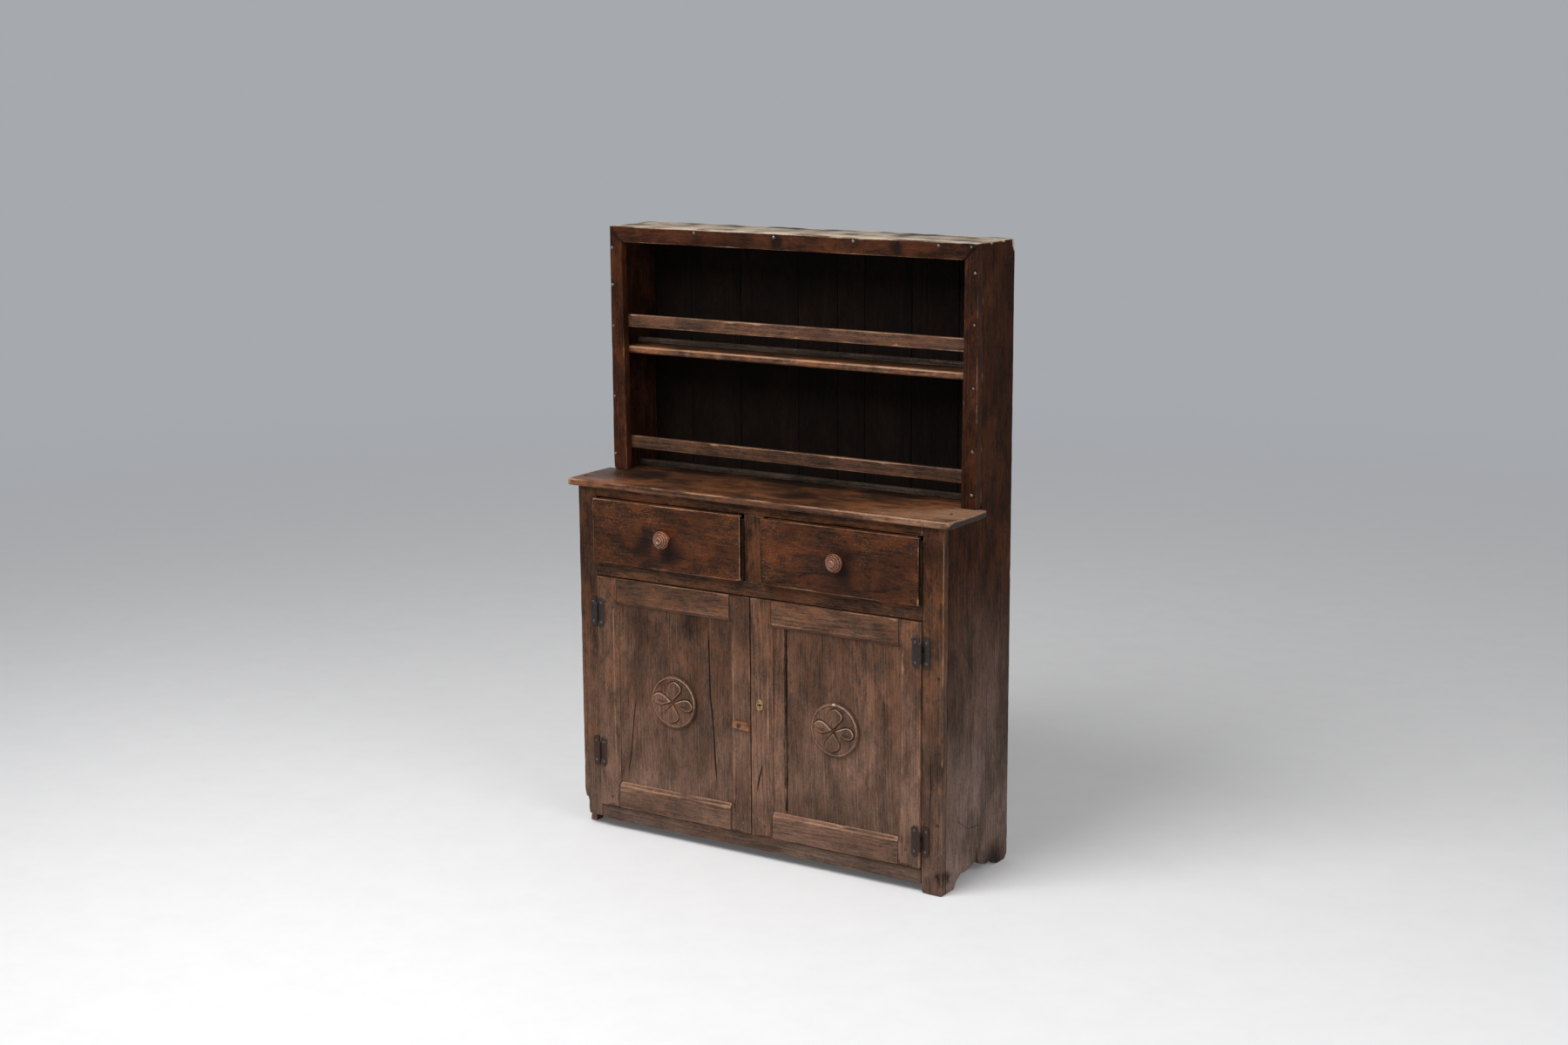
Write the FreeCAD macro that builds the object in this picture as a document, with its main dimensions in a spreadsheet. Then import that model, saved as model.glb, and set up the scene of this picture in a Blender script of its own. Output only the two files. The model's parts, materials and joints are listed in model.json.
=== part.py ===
"""Joined oak cupboard with two drawers, two panelled doors and an open plate rack.

Millimetres. +X is to the right of someone facing the front, +Y is to the back, +Z is up.
The origin is on the floor, under the middle of the whole piece.
"""
import FreeCAD, Part
import math
import os
import Sketcher

# Sizes, in millimetres
SIZES = {
    # carcase
    "case_width": 1020,
    "base_depth": 322,
    "rack_depth": 175,
    "total_height": 1482,
    "counter_height": 880,
    "side_thickness": 17,
    "housing_depth": 6,
    "side_scallop_height": 43,
    "side_split_height": 92,
    "rear_corner_wear": 12,
    # face frame
    "frame_thickness": 22,
    "base_stile_width": 54,
    "top_rail_height": 23,
    "drawer_opening_height": 160,
    "middle_rail_height": 36,
    "bottom_rail_height": 36,
    "ground_gap": 22,
    "divider_width": 54,
    "divider_shift": 3,
    "stile_break_width": 10,
    "stile_break_height": 67,
    "stile_break_foot": 26,
    # counter board
    "counter_thickness": 17,
    "counter_front_overhang": 15,
    "counter_side_overhang": 22,
    "counter_ear_run": 14,
    "counter_edge_radius": 5,
    # plate rack
    "rack_stile_foot_width": 40,
    "rack_stile_head_width": 35,
    "rack_rail_height": 38,
    "rack_top_thickness": 16,
    "rack_shelf_thickness": 18,
    "rack_shelf_edge_radius": 6,
    "guard_rail_height": 31,
    "guard_rail_thickness": 14,
    "upper_guard_gap": 47,
    "lower_guard_gap": 53,
    "plate_batten_height": 14,
    "plate_batten_thickness": 12,
    "plate_batten_setback": 78,
    "plate_batten_bevel": 4,
    # back boards
    "back_thickness": 14,
    "back_rebate": 8,
    "back_foot_gap": 30,
    "back_board_gap": 1,
    # cupboard inside
    "floor_thickness": 16,
    "inner_shelf_lift": 1,
    "inner_shelf_thickness": 16,
    "inner_shelf_setback": 30,
    "cleat_height": 25,
    "cleat_thickness": 18,
    "runner_height": 25,
    "runner_ledge": 20,
    "runner_guide_height": 18,
    "running_gap": 0.3,
    # drawers
    "drawer_gap": 1.5,
    "drawer_proud": 18,
    "drawer_front_thickness": 22,
    "drawer_lap": 10,
    "drawer_side_thickness": 12,
    "drawer_side_height": 146,
    "drawer_back_room": 52,
    "drawer_back_thickness": 12,
    "drawer_bottom_thickness": 7,
    "drawer_groove_depth": 5,
    "drawer_groove_lift": 9,
    "knob_diameter": 44,
    "knob_length": 34,
    "knob_stem_diameter": 26,
    "knob_stem_length": 12,
    "knob_tenon_diameter": 14,
    "peg_clearance": 0.05,
    # doors
    "door_thickness": 24,
    "door_proud": 6,
    "door_gap": 1,
    "door_head_gap": 2,
    "door_meeting_gap": 3,
    "door_meeting_shift": 7,
    "door_stile_width": 58,
    "door_rail_height": 66,
    "door_bevel_width": 10,
    "door_bevel_depth": 8,
    "tenon_thickness": 8,
    "tenon_length": 34,
    "tenon_shoulder": 10,
    "panel_setback": 10,
    "panel_thickness": 9,
    "panel_tongue": 8,
    "panel_room": 1,
    "panel_strip_width": 34,
    "panel_crack": 2,
    "rosette_diameter": 130,
    "rosette_thickness": 10,
    "rosette_bevel": 4,
    "rosette_border": 5,
    "rosette_ground_depth": 2.5,
    "rosette_lift": 3,
    "petal_point_radius": 9,
    "petal_widest_radius": 45,
    "petal_width": 27,
    # hinges
    "left_upper_hinge_inset": 90,
    "left_lower_hinge_inset": 137,
    "right_upper_hinge_inset": 70,
    "right_lower_hinge_inset": 66,
    "hinge_leaf_width": 17,
    "hinge_leaf_height": 72,
    "hinge_leaf_thickness": 2.5,
    "hinge_leaf_room": 0.5,
    "hinge_corner_clip": 5,
    "hinge_knuckle_diameter": 8,
    "hinge_knuckle_height": 23,
    "hinge_pin_diameter": 4,
    "hinge_pin_clearance": 0.05,
    "hinge_axis_lift": 4.2,
    "hinge_knuckle_gap": 0.2,
    # lock and turn button
    "lock_lift": 34,
    "lock_centre_run": 26,
    "escutcheon_width": 19,
    "escutcheon_height": 27,
    "escutcheon_thickness": 1.6,
    "keyhole_diameter": 7,
    "keyhole_slot_width": 3,
    "keyhole_slot_height": 10,
    "lock_case_width": 48,
    "lock_case_height": 56,
    "lock_case_depth": 14,
    "lock_case_wall": 2,
    "bolt_length": 36,
    "bolt_height": 14,
    "bolt_thickness": 6,
    "bolt_lift": 13,
    "bolt_notch_width": 12,
    "bolt_notch_depth": 4,
    "bolt_clearance": 0.3,
    "button_length": 46.5,
    "button_height": 20,
    "button_thickness": 9,
    "button_heel": 18,
    "button_heel_drop": 7,
    "button_tip_clip": 6,
    "button_pivot_run": 27,
    "button_drop": 23,
    "button_gap": 0.3,
    "screw_shank_diameter": 4.5,
    "screw_head_diameter": 9,
    "screw_head_height": 2,
    "screw_length": 16,
    "cut_overrun": 5,
}

# Height of the rack's shelf over the counter, as a share of the height of the rack's inside
RACK_SHELF_SHARE = 0.5256
# Places of the joints between back boards, as shares of the case width from the middle
BACK_JOINT_SHARES = (-0.374, -0.230, -0.066, 0.043, 0.118, 0.244, 0.368)

# Lower edge of a side board, as shares of its depth and of the scallop height.
# The last value bends the edge that follows: its arc radius as a share of the scallop height.
SCALLOP_SHARES = (
    (0.190, 0.00, -1.15),
    (0.300, 0.65, 2.20),
    (0.515, 1.00, 0),
)
SCALLOP_LOBE_SHARES = (
    (0.545, 0.90, 1.30),
    (0.740, 0.42, 0),
    (0.840, 0.00, 0),
)
SPLIT_PLACE_SHARE = 0.530

# Profile of a knob's head, as shares of its radius and of its length from the stem to the tip
KNOB_HEAD_SHARES = (
    (1.00, 0.00),
    (1.00, 0.52),
    (0.74, 0.52),
    (0.74, 0.77),
    (0.42, 0.77),
    (0.42, 1.00),
    (0.00, 1.00),
)

# The rounded end of a petal: its radius as a share of half the petal's width
PETAL_END_SHARE = 1.05
PETAL_COUNT = 4
ROSETTE_TURN_DEGREES = -6

# Two places nearer than this share of the case width count as one
SAME_PLACE_SHARE = 0.0001

document = FreeCAD.newDocument("OakCupboard")
sheet = document.addObject("Spreadsheet::Sheet", "Sizes")
nodes = []


class Measure:
    """A size with its value and with the text that binds it to the sheet."""

    def __init__(self, text, value):
        self.text = text
        self.value = value

    def __add__(self, other):
        return Measure(f"({self.text} + {text_of(other)})", self.value + value_of(other))

    def __sub__(self, other):
        return Measure(f"({self.text} - {text_of(other)})", self.value - value_of(other))

    def __mul__(self, share):
        return Measure(f"({self.text} * {text_of(share)})", self.value * value_of(share))

    def __truediv__(self, share):
        return Measure(f"({self.text} / {text_of(share)})", self.value / value_of(share))

    def __neg__(self):
        return Measure(f"(0 - {self.text})", -self.value)


def text_of(item):
    return item.text if isinstance(item, Measure) else repr(item)


def value_of(item):
    return item.value if isinstance(item, Measure) else item


def fill_sheet():
    for row, (name, value) in enumerate(SIZES.items(), start=1):
        sheet.set(f"A{row}", name)
        sheet.set(f"B{row}", str(value))
        sheet.setAlias(f"B{row}", name)
    document.recompute()


def size(name):
    return Measure(f"Sizes.{name}", SIZES[name])


ZERO = Measure("0", 0)


# Shared places

def places():
    """The planes that the pieces share, worked out from the sizes."""
    at = {}
    at["half"] = size("case_width") / 2
    at["inner"] = at["half"] - size("side_thickness")
    at["rear"] = (size("base_depth") + size("drawer_proud") + size("knob_length")) / 2
    at["front"] = at["rear"] - size("base_depth")
    at["frame_back"] = at["front"] + size("frame_thickness")
    at["rack_front"] = at["rear"] - size("rack_depth")
    at["rack_frame_back"] = at["rack_front"] + size("frame_thickness")
    at["board_front"] = at["rear"] - size("back_thickness")
    at["counter_under"] = size("counter_height") - size("counter_thickness")
    at["drawer_top"] = at["counter_under"] - size("top_rail_height")
    at["drawer_floor"] = at["drawer_top"] - size("drawer_opening_height")
    at["door_top"] = at["drawer_floor"] - size("middle_rail_height")
    at["door_floor"] = size("ground_gap") + size("bottom_rail_height")
    at["opening"] = at["half"] - size("base_stile_width")
    at["divider_left"] = size("divider_shift") - size("divider_width") / 2
    at["divider_right"] = size("divider_shift") + size("divider_width") / 2
    at["door_front"] = at["front"] - size("door_proud")
    at["door_back"] = at["door_front"] + size("door_thickness")
    at["door_low"] = at["door_floor"] + size("door_head_gap")
    at["door_high"] = at["door_top"] - size("door_head_gap")
    at["door_middle"] = (at["door_low"] + at["door_high"]) / 2
    at["lock"] = at["door_middle"] + size("lock_lift")
    at["button"] = at["door_middle"] - size("button_drop")
    at["rack_top_under"] = size("total_height") - size("rack_top_thickness")
    at["rack_shelf_top"] = (size("counter_height")
                            + (at["rack_top_under"] - size("counter_height")) * RACK_SHELF_SHARE)
    at["rack_shelf_under"] = at["rack_shelf_top"] - size("rack_shelf_thickness")
    return at


# Building blocks

def register(name, item):
    """Name a finished piece, so that it is checked and written at the end."""
    item.Label = name
    nodes.append((name, item))
    return item


def bind(item, **expressions):
    """Bind properties of a document object to sizes; a double underscore stands for a dot."""
    for field, measure in expressions.items():
        item.setExpression(field.replace("__", "."), text_of(measure))


def box(name, x, y, z):
    """A plain board between two planes in each direction."""
    item = document.addObject("Part::Box", name)
    bind(item, Length=x[1] - x[0], Width=y[1] - y[0], Height=z[1] - z[0])
    bind(item, Placement__Base__x=x[0], Placement__Base__y=y[0], Placement__Base__z=z[0])
    return item


def rod(name, x, y, z, radius, height, turn=None):
    """A round bar that starts at a point and runs up, or along the turned direction."""
    item = document.addObject("Part::Cylinder", name)
    if turn is not None:
        item.Placement = FreeCAD.Placement(FreeCAD.Vector(), turn)
    bind(item, Radius=radius, Height=height)
    bind(item, Placement__Base__x=x, Placement__Base__y=y, Placement__Base__z=z)
    return item


def fused(name, items):
    item = document.addObject("Part::MultiFuse", name)
    item.Shapes = items
    return item


def cut(name, base, tools):
    """A base with one or more tools taken out of it."""
    item = document.addObject("Part::Cut", name)
    item.Base = base
    item.Tool = tools[0] if len(tools) == 1 else fused(name + "_tools", tools)
    return item


def group(name, items):
    item = document.addObject("Part::Compound", name)
    item.Links = items
    return item


def new_body(name):
    return document.addObject("PartDesign::Body", name)


def origin_plane(body, role):
    return next(item for item in body.Origin.OriginFeatures if item.Role == role)


def new_sketch(body, name, role, offset):
    sketch = body.newObject("Sketcher::SketchObject", name)
    sketch.AttachmentSupport = (origin_plane(body, role), "")
    sketch.MapMode = "FlatFace"
    bind(sketch, AttachmentOffset__Base__z=offset)
    return sketch


def add_edge(sketch, start, end, bend):
    """Add a line, or an arc whose signed radius turns it left or right; return its end marks."""
    if not value_of(bend):
        sketch.addGeometry(Part.LineSegment(start, end), False)
        return 1, 2
    radius = abs(value_of(bend))
    turn = math.copysign(1, value_of(bend))
    chord = end - start
    half = chord.Length / 2
    side = FreeCAD.Vector(-chord.y, chord.x, 0).normalize()
    reach = math.sqrt(max(radius ** 2 - half ** 2, 0))
    centre = (start + end) * 0.5 + side * (reach * turn)
    first, last = (start, end) if turn > 0 else (end, start)
    angles = [math.atan2(point.y - centre.y, point.x - centre.x) for point in (first, last)]
    if angles[1] < angles[0]:
        angles[1] += 2 * math.pi
    circle = Part.Circle(centre, FreeCAD.Vector(0, 0, 1), radius)
    sketch.addGeometry(Part.ArcOfCircle(circle, angles[0], angles[1]), False)
    return (1, 2) if turn > 0 else (2, 1)


def draw_outline(sketch, points):
    """Draw a closed outline; a point is (across, up) or (across, up, radius of the next edge)."""
    first_edge = sketch.GeometryCount
    corners = [FreeCAD.Vector(value_of(point[0]), value_of(point[1]), 0) for point in points]
    bends = [point[2] if len(point) > 2 else 0 for point in points]
    marks = []
    for index, corner in enumerate(corners):
        following = corners[(index + 1) % len(corners)]
        marks.append(add_edge(sketch, corner, following, bends[index]))
    for index, point in enumerate(points):
        edge = first_edge + index
        following = first_edge + (index + 1) % len(points)
        following_mark = marks[(index + 1) % len(points)][0]
        sketch.addConstraint(
            Sketcher.Constraint("Coincident", edge, marks[index][1], following, following_mark))
        for kind, measure in (("DistanceX", point[0]), ("DistanceY", point[1])):
            pin(sketch, kind, (-1, 1, edge, marks[index][0]), measure)
        if value_of(bends[index]):
            radius = bends[index] if value_of(bends[index]) > 0 else -bends[index]
            pin(sketch, "Radius", (edge,), radius)
    sketch.solve()


def pin(sketch, kind, where, measure):
    """Add one dimension to a sketch and bind it to its size."""
    number = sketch.addConstraint(Sketcher.Constraint(kind, *where, value_of(measure)))
    sketch.setExpression(f"Constraints[{number}]", text_of(measure))


def pad(body, name, role, offset, length, points):
    """Pad an outline that lies on a plane of the body, offset along the plane's normal."""
    sketch = new_sketch(body, name + "_sketch", role, offset)
    draw_outline(sketch, points)
    feature = body.newObject("PartDesign::Pad", name)
    feature.Profile = sketch
    bind(feature, Length=length)
    body.Tip = feature
    return feature


def pocket(body, name, role, offset, length, points):
    """Cut an outline out of the body, against the normal of the sketch's plane."""
    before = volume_of(body)
    sketch = new_sketch(body, name + "_sketch", role, offset)
    draw_outline(sketch, points)
    feature = body.newObject("PartDesign::Pocket", name)
    feature.Profile = sketch
    feature.Type = "Length"
    bind(feature, Length=length)
    body.Tip = feature
    if not volume_of(body) < before:
        raise RuntimeError(f"{name} cuts nothing")
    return feature


def volume_of(item):
    document.recompute()
    return item.Shape.Volume


def rectangle(across, up):
    return [(across[0], up[0]), (across[1], up[0]), (across[1], up[1]), (across[0], up[1])]


def edges_along_x(shape, y, z):
    """Names of the straight edges that run along X through the given Y and Z."""
    found = []
    near = SIZES["case_width"] * SAME_PLACE_SHARE
    for index, edge in enumerate(shape.Edges, start=1):
        ends = [vertex.Point for vertex in edge.Vertexes]
        if all(abs(end.y - y) + abs(end.z - z) < near for end in ends):
            found.append(f"Edge{index}")
    return found


def round_front_edges(body, name, y, heights, radius):
    """Round the edges of a board that run along X at its front."""
    document.recompute()
    base = body.Tip
    names = []
    for height in heights:
        names += edges_along_x(base.Shape, value_of(y), value_of(height))
    fillet = body.newObject("PartDesign::Fillet", name)
    fillet.Base = (base, names)
    bind(fillet, Radius=radius)
    body.Tip = fillet


# Carcase

def side_board(name, at, outer_is_left):
    """One board from floor to top: deep below the counter, shallow beside the rack."""
    body = new_body(name)
    start = -at["half"] if outer_is_left else at["inner"]
    depth = size("base_depth")
    rise = size("side_scallop_height")
    wear = size("rear_corner_wear")
    outline = [(at["frame_back"], ZERO)]
    for place, lift, bend in SCALLOP_SHARES:
        outline.append((at["front"] + depth * place, rise * lift, rise * bend))
    outline.append((at["front"] + depth * SPLIT_PLACE_SHARE, size("side_split_height")))
    for place, lift, bend in SCALLOP_LOBE_SHARES:
        outline.append((at["front"] + depth * place, rise * lift, rise * bend))
    outline += [
        (at["rear"] - wear, ZERO),
        (at["rear"], wear),
        (at["rear"], size("total_height")),
        (at["rack_frame_back"], size("total_height")),
        (at["rack_frame_back"], at["counter_under"]),
        (at["frame_back"], at["counter_under"]),
    ]
    pad(body, name + "_board", "YZ_Plane", start, size("side_thickness"), outline)
    cut_housings(body, name, at, outer_is_left)
    return register(name, body)


def cut_housings(body, name, at, outer_is_left):
    """Grooves in the inner face for the floor, the rack shelf and the top, and the back rebate."""
    over = size("cut_overrun")
    boards = {
        "floor": (at["frame_back"], at["door_floor"] - size("floor_thickness"), at["door_floor"]),
        "shelf": (at["rack_frame_back"], at["rack_shelf_under"], at["rack_shelf_top"]),
        "top": (at["rack_frame_back"], at["rack_top_under"], size("total_height")),
    }
    inner_face = -at["inner"] if outer_is_left else at["inner"]
    for place, (nearest, low, high) in boards.items():
        depth = size("housing_depth")
        start = inner_face if outer_is_left else inner_face + depth
        pocket(body, f"{name}_{place}_housing", "YZ_Plane", start, depth,
               rectangle((nearest, at["board_front"]), (low, high)))
    depth = size("back_rebate")
    start = inner_face if outer_is_left else inner_face + depth
    pocket(body, name + "_back_rebate", "YZ_Plane", start, depth,
           rectangle((at["board_front"], at["rear"] + over), (-over, size("total_height") + over)))


def back_boards(at):
    """Upright boards of uneven width, side by side in the rebates of the side boards."""
    reach = at["inner"] + size("back_rebate")
    joints = [size("case_width") * share for share in BACK_JOINT_SHARES]
    edges = [-reach] + joints + [reach]
    boards = []
    for index in range(len(edges) - 1):
        gap = size("back_board_gap") if index < len(edges) - 2 else ZERO
        boards.append(box(
            f"back_board_{index + 1}",
            (edges[index], edges[index + 1] - gap),
            (at["board_front"], at["rear"]),
            (size("back_foot_gap"), size("total_height"))))
    return register("back_boards", group("back_boards_set", boards))


def counter_board(at):
    """The worktop, cut round the side boards and run on as an ear outside each of them."""
    front = at["front"] - size("counter_front_overhang")
    ear = at["half"] + size("counter_side_overhang")
    ear_end = at["rack_front"] + size("counter_ear_run")
    outline = [
        (-ear, front),
        (ear, front),
        (ear, ear_end),
        (at["half"], ear_end),
        (at["half"], at["rack_frame_back"]),
        (at["inner"], at["rack_frame_back"]),
        (at["inner"], at["board_front"]),
        (-at["inner"], at["board_front"]),
        (-at["inner"], at["rack_frame_back"]),
        (-at["half"], at["rack_frame_back"]),
        (-at["half"], ear_end),
        (-ear, ear_end),
    ]
    body = new_body("counter_board")
    pad(body, "counter_blank", "XY_Plane", at["counter_under"], size("counter_thickness"), outline)
    round_front_edges(body, "counter_round", front, (at["counter_under"], size("counter_height")),
                      size("counter_edge_radius"))
    return register("counter_board", body)


def cupboard_floor(at):
    reach = at["inner"] + size("housing_depth")
    floor = box("floor_board", (-reach, reach), (at["frame_back"], at["board_front"]),
                (at["door_floor"] - size("floor_thickness"), at["door_floor"]))
    return register("cupboard_floor", floor)


def inner_shelf(at):
    """The shelf inside the cupboard, loose on two cleats nailed to the side boards."""
    front = at["frame_back"] + size("inner_shelf_setback")
    top = at["door_middle"] + size("inner_shelf_lift")
    under = top - size("inner_shelf_thickness")
    room = size("running_gap")
    shelf = box("inner_shelf_board", (room - at["inner"], at["inner"] - room),
                (front, at["board_front"]), (under, top))
    register("cupboard_shelf", shelf)
    low = under - size("cleat_height")
    thick = size("cleat_thickness")
    left = box("left_cleat", (-at["inner"], thick - at["inner"]), (front, at["board_front"]),
               (low, under))
    right = box("right_cleat", (at["inner"] - thick, at["inner"]), (front, at["board_front"]),
                (low, under))
    register("shelf_cleats", group("cleat_pair", [left, right]))


def face_frame(at):
    """Stiles, rails and the drawer divider of the lower front."""
    across = (at["front"], at["frame_back"])
    sink = (-at["frame_back"], size("frame_thickness"))
    broken = size("stile_break_width")
    outline = [
        (-at["half"], at["counter_under"]),
        (-at["half"], size("stile_break_height")),
        (broken - at["half"], size("stile_break_height")),
        (broken - at["half"], size("stile_break_foot")),
        (-at["opening"], size("stile_break_foot")),
        (-at["opening"], at["counter_under"]),
    ]
    body = new_body("base_stile_left")
    pad(body, "left_stile_board", "XZ_Plane", *sink, outline)
    register("base_stile_left", body)
    right = box("right_stile_board", (at["opening"], at["half"]), across,
                (ZERO, at["counter_under"]))
    register("base_stile_right", right)
    width = (-at["opening"], at["opening"])
    rails = {
        "base_top_rail": (at["drawer_top"], at["counter_under"]),
        "middle_rail": (at["door_top"], at["drawer_floor"]),
        "bottom_rail": (size("ground_gap"), at["door_floor"]),
    }
    for name, heights in rails.items():
        register(name, box(name + "_board", width, across, heights))
    divider = box("divider_board", (at["divider_left"], at["divider_right"]), across,
                  (at["drawer_floor"], at["drawer_top"]))
    register("drawer_divider", divider)


def drawer_runners(at):
    """Ledges that carry the drawers, each with a guide that keeps the drawer straight."""
    low = at["drawer_floor"] - size("runner_height")
    top = at["drawer_floor"]
    guide = top + size("runner_guide_height")
    ledge = size("runner_ledge")
    length = (-at["board_front"], at["board_front"] - at["frame_back"])
    left = [
        (-at["inner"], low),
        (ledge - at["opening"], low),
        (ledge - at["opening"], top),
        (-at["opening"], top),
        (-at["opening"], guide),
        (-at["inner"], guide),
    ]
    right = [(-across, up) for across, up in left]
    middle = [
        (at["divider_left"] - ledge, low),
        (at["divider_right"] + ledge, low),
        (at["divider_right"] + ledge, top),
        (at["divider_right"], top),
        (at["divider_right"], guide),
        (at["divider_left"], guide),
        (at["divider_left"], top),
        (at["divider_left"] - ledge, top),
    ]
    for side, outline in (("left", left), ("right", right), ("middle", middle)):
        body = new_body(f"drawer_runner_{side}")
        pad(body, f"runner_{side}_strip", "XZ_Plane", *length, outline)
        register(f"drawer_runner_{side}", body)


# Plate rack

def rack_frame(at):
    """Tapering stiles and a top rail that meet in mitres."""
    sink = (-at["rack_frame_back"], size("frame_thickness"))
    head_inner = at["half"] - size("rack_stile_head_width")
    foot_inner = at["half"] - size("rack_stile_foot_width")
    rail_under = size("total_height") - size("rack_rail_height")
    right = [
        (foot_inner, size("counter_height")),
        (at["half"], size("counter_height")),
        (at["half"], size("total_height")),
        (head_inner, rail_under),
    ]
    left = [(-across, up) for across, up in right]
    rail = [
        (-head_inner, rail_under),
        (head_inner, rail_under),
        (at["half"], size("total_height")),
        (-at["half"], size("total_height")),
    ]
    pieces = {"rack_stile_left": left, "rack_stile_right": right, "rack_top_rail": rail}
    for name, outline in pieces.items():
        body = new_body(name)
        pad(body, name + "_board", "XZ_Plane", *sink, outline)
        register(name, body)


def rack_boards(at):
    """The top, the shelf with its rounded front, the guard rails behind the stiles, the battens."""
    reach = at["inner"] + size("housing_depth")
    depth = (at["rack_frame_back"], at["board_front"])
    top = box("rack_top_blank", (-reach, reach), depth,
              (at["rack_top_under"], size("total_height")))
    register("rack_top_board", top)
    shelf = new_body("rack_shelf")
    pad(shelf, "rack_shelf_blank", "XY_Plane", at["rack_shelf_under"],
        size("rack_shelf_thickness"), rectangle((-reach, reach), depth))
    round_front_edges(shelf, "rack_shelf_round", depth[0],
                      (at["rack_shelf_under"], at["rack_shelf_top"]),
                      size("rack_shelf_edge_radius"))
    register("rack_shelf", shelf)
    guards = {
        "guard_rail_upper": at["rack_shelf_top"] + size("upper_guard_gap"),
        "guard_rail_lower": size("counter_height") + size("lower_guard_gap"),
    }
    for name, low in guards.items():
        back = at["rack_frame_back"] + size("guard_rail_thickness")
        rail = box(name + "_strip", (-at["inner"], at["inner"]), (at["rack_frame_back"], back),
                   (low, low + size("guard_rail_height")))
        register(name, rail)
    battens = {
        "plate_batten_upper": at["rack_shelf_top"],
        "plate_batten_lower": size("counter_height"),
    }
    for name, low in battens.items():
        plate_batten(name, at, low)


def plate_batten(name, at, low):
    """A strip with a bevelled front edge that holds the feet of standing plates."""
    back = at["rear"] - size("plate_batten_setback")
    front = back - size("plate_batten_thickness")
    high = low + size("plate_batten_height")
    bevel = size("plate_batten_bevel")
    outline = [(front, low), (back, low), (back, high), (front + bevel, high), (front, high - bevel)]
    body = new_body(name)
    pad(body, name + "_strip", "YZ_Plane", -at["inner"], at["inner"] * 2, outline)
    register(name, body)


# Drawers

def drawer(side, at, left, right):
    """A nailed drawer: lapped front, two grooved sides, a back, a bottom and a turned knob."""
    gap = size("drawer_gap")
    x = (left + gap, right - gap)
    z = (at["drawer_floor"] + gap, at["drawer_top"] - gap)
    front = at["front"] - size("drawer_proud")
    front_back = front + size("drawer_front_thickness")
    lap = front_back - size("drawer_lap")
    thick = size("drawer_side_thickness")
    low = at["drawer_floor"] + size("running_gap")
    high = low + size("drawer_side_height")
    back = at["board_front"] - size("drawer_back_room")
    slot = low + size("drawer_groove_lift")
    slot_top = slot + size("drawer_bottom_thickness")
    groove = size("drawer_groove_depth")
    name = f"drawer_{side}"

    body = new_body(name + "_front")
    outline = [
        (x[0], front), (x[1], front), (x[1], lap), (x[1] - thick, lap), (x[1] - thick, front_back),
        (x[0] + thick, front_back), (x[0] + thick, lap), (x[0], lap),
    ]
    pad(body, name + "_front_board", "XY_Plane", z[0], z[1] - z[0], outline)
    pocket(body, name + "_front_groove", "XY_Plane", slot_top, size("drawer_bottom_thickness"),
           rectangle((x[0] + thick - groove, x[1] - thick + groove),
                     (front_back - groove, front_back + groove)))
    centre = ((x[0] + x[1]) / 2, (z[0] + z[1]) / 2)
    tenon = size("knob_tenon_diameter") / 2
    hole = rod(name + "_knob_hole", centre[0], front_back + size("cut_overrun"), centre[1],
               tenon + size("peg_clearance"),
               size("drawer_front_thickness") + size("cut_overrun") * 2, TOWARDS_FRONT)
    register(name + "_front", cut(name + "_front_piece", body, [hole]))

    inner = (x[0] + thick, x[1] - thick)
    cheeks = {
        "left": [(x[0], low), (inner[0], low), (inner[0], slot), (inner[0] - groove, slot),
                 (inner[0] - groove, slot_top), (inner[0], slot_top), (inner[0], high),
                 (x[0], high)],
        "right": [(x[1], low), (inner[1], low), (inner[1], slot), (inner[1] + groove, slot),
                  (inner[1] + groove, slot_top), (inner[1], slot_top), (inner[1], high),
                  (x[1], high)],
    }
    for cheek, section in cheeks.items():
        body = new_body(f"{name}_side_{cheek}")
        pad(body, f"{name}_side_{cheek}_board", "XZ_Plane", -back, back - lap, section)
        register(f"{name}_side_{cheek}", body)
    panel = box(name + "_back_board", inner, (back - size("drawer_back_thickness"), back),
                (slot_top, high))
    register(name + "_back", panel)
    bottom = box(name + "_bottom_board", (inner[0] - groove, inner[1] + groove),
                 (front_back - groove, back), (slot, slot_top))
    register(name + "_bottom", bottom)
    knob(name + "_knob", centre, front, front_back)


def turned_piece(name, role, outline):
    """A body made by turning half a profile round the upright axis of its sketch."""
    body = new_body(name)
    sketch = body.newObject("Sketcher::SketchObject", name + "_profile")
    sketch.AttachmentSupport = (origin_plane(body, role), "")
    sketch.MapMode = "FlatFace"
    draw_outline(sketch, outline)
    turned = body.newObject("PartDesign::Revolution", name + "_turned")
    turned.Profile = sketch
    turned.ReferenceAxis = (sketch, ["V_Axis"])
    turned.Angle = 360
    body.Tip = turned
    return body


def knob(name, centre, face, tenon_end):
    """A turned knob: a round tenon, a stem and a head that steps up in rings."""
    stem = size("knob_stem_diameter") / 2
    stem_end = size("knob_stem_length")
    head = size("knob_diameter") / 2
    head_length = size("knob_length") - stem_end
    tenon = size("knob_tenon_diameter") / 2
    outline = [
        (ZERO, face - tenon_end),
        (tenon, face - tenon_end),
        (tenon, ZERO),
        (stem, ZERO),
        (stem, stem_end),
    ]
    for across, along in KNOB_HEAD_SHARES:
        outline.append((head * across, stem_end + head_length * along))
    body = turned_piece(name, "XY_Plane", outline)
    body.Placement = FreeCAD.Placement(FreeCAD.Vector(), TURN_OVER)
    bind(body, Placement__Base__x=centre[0], Placement__Base__y=face, Placement__Base__z=centre[1])
    register(name, body)


# Doors

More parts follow.
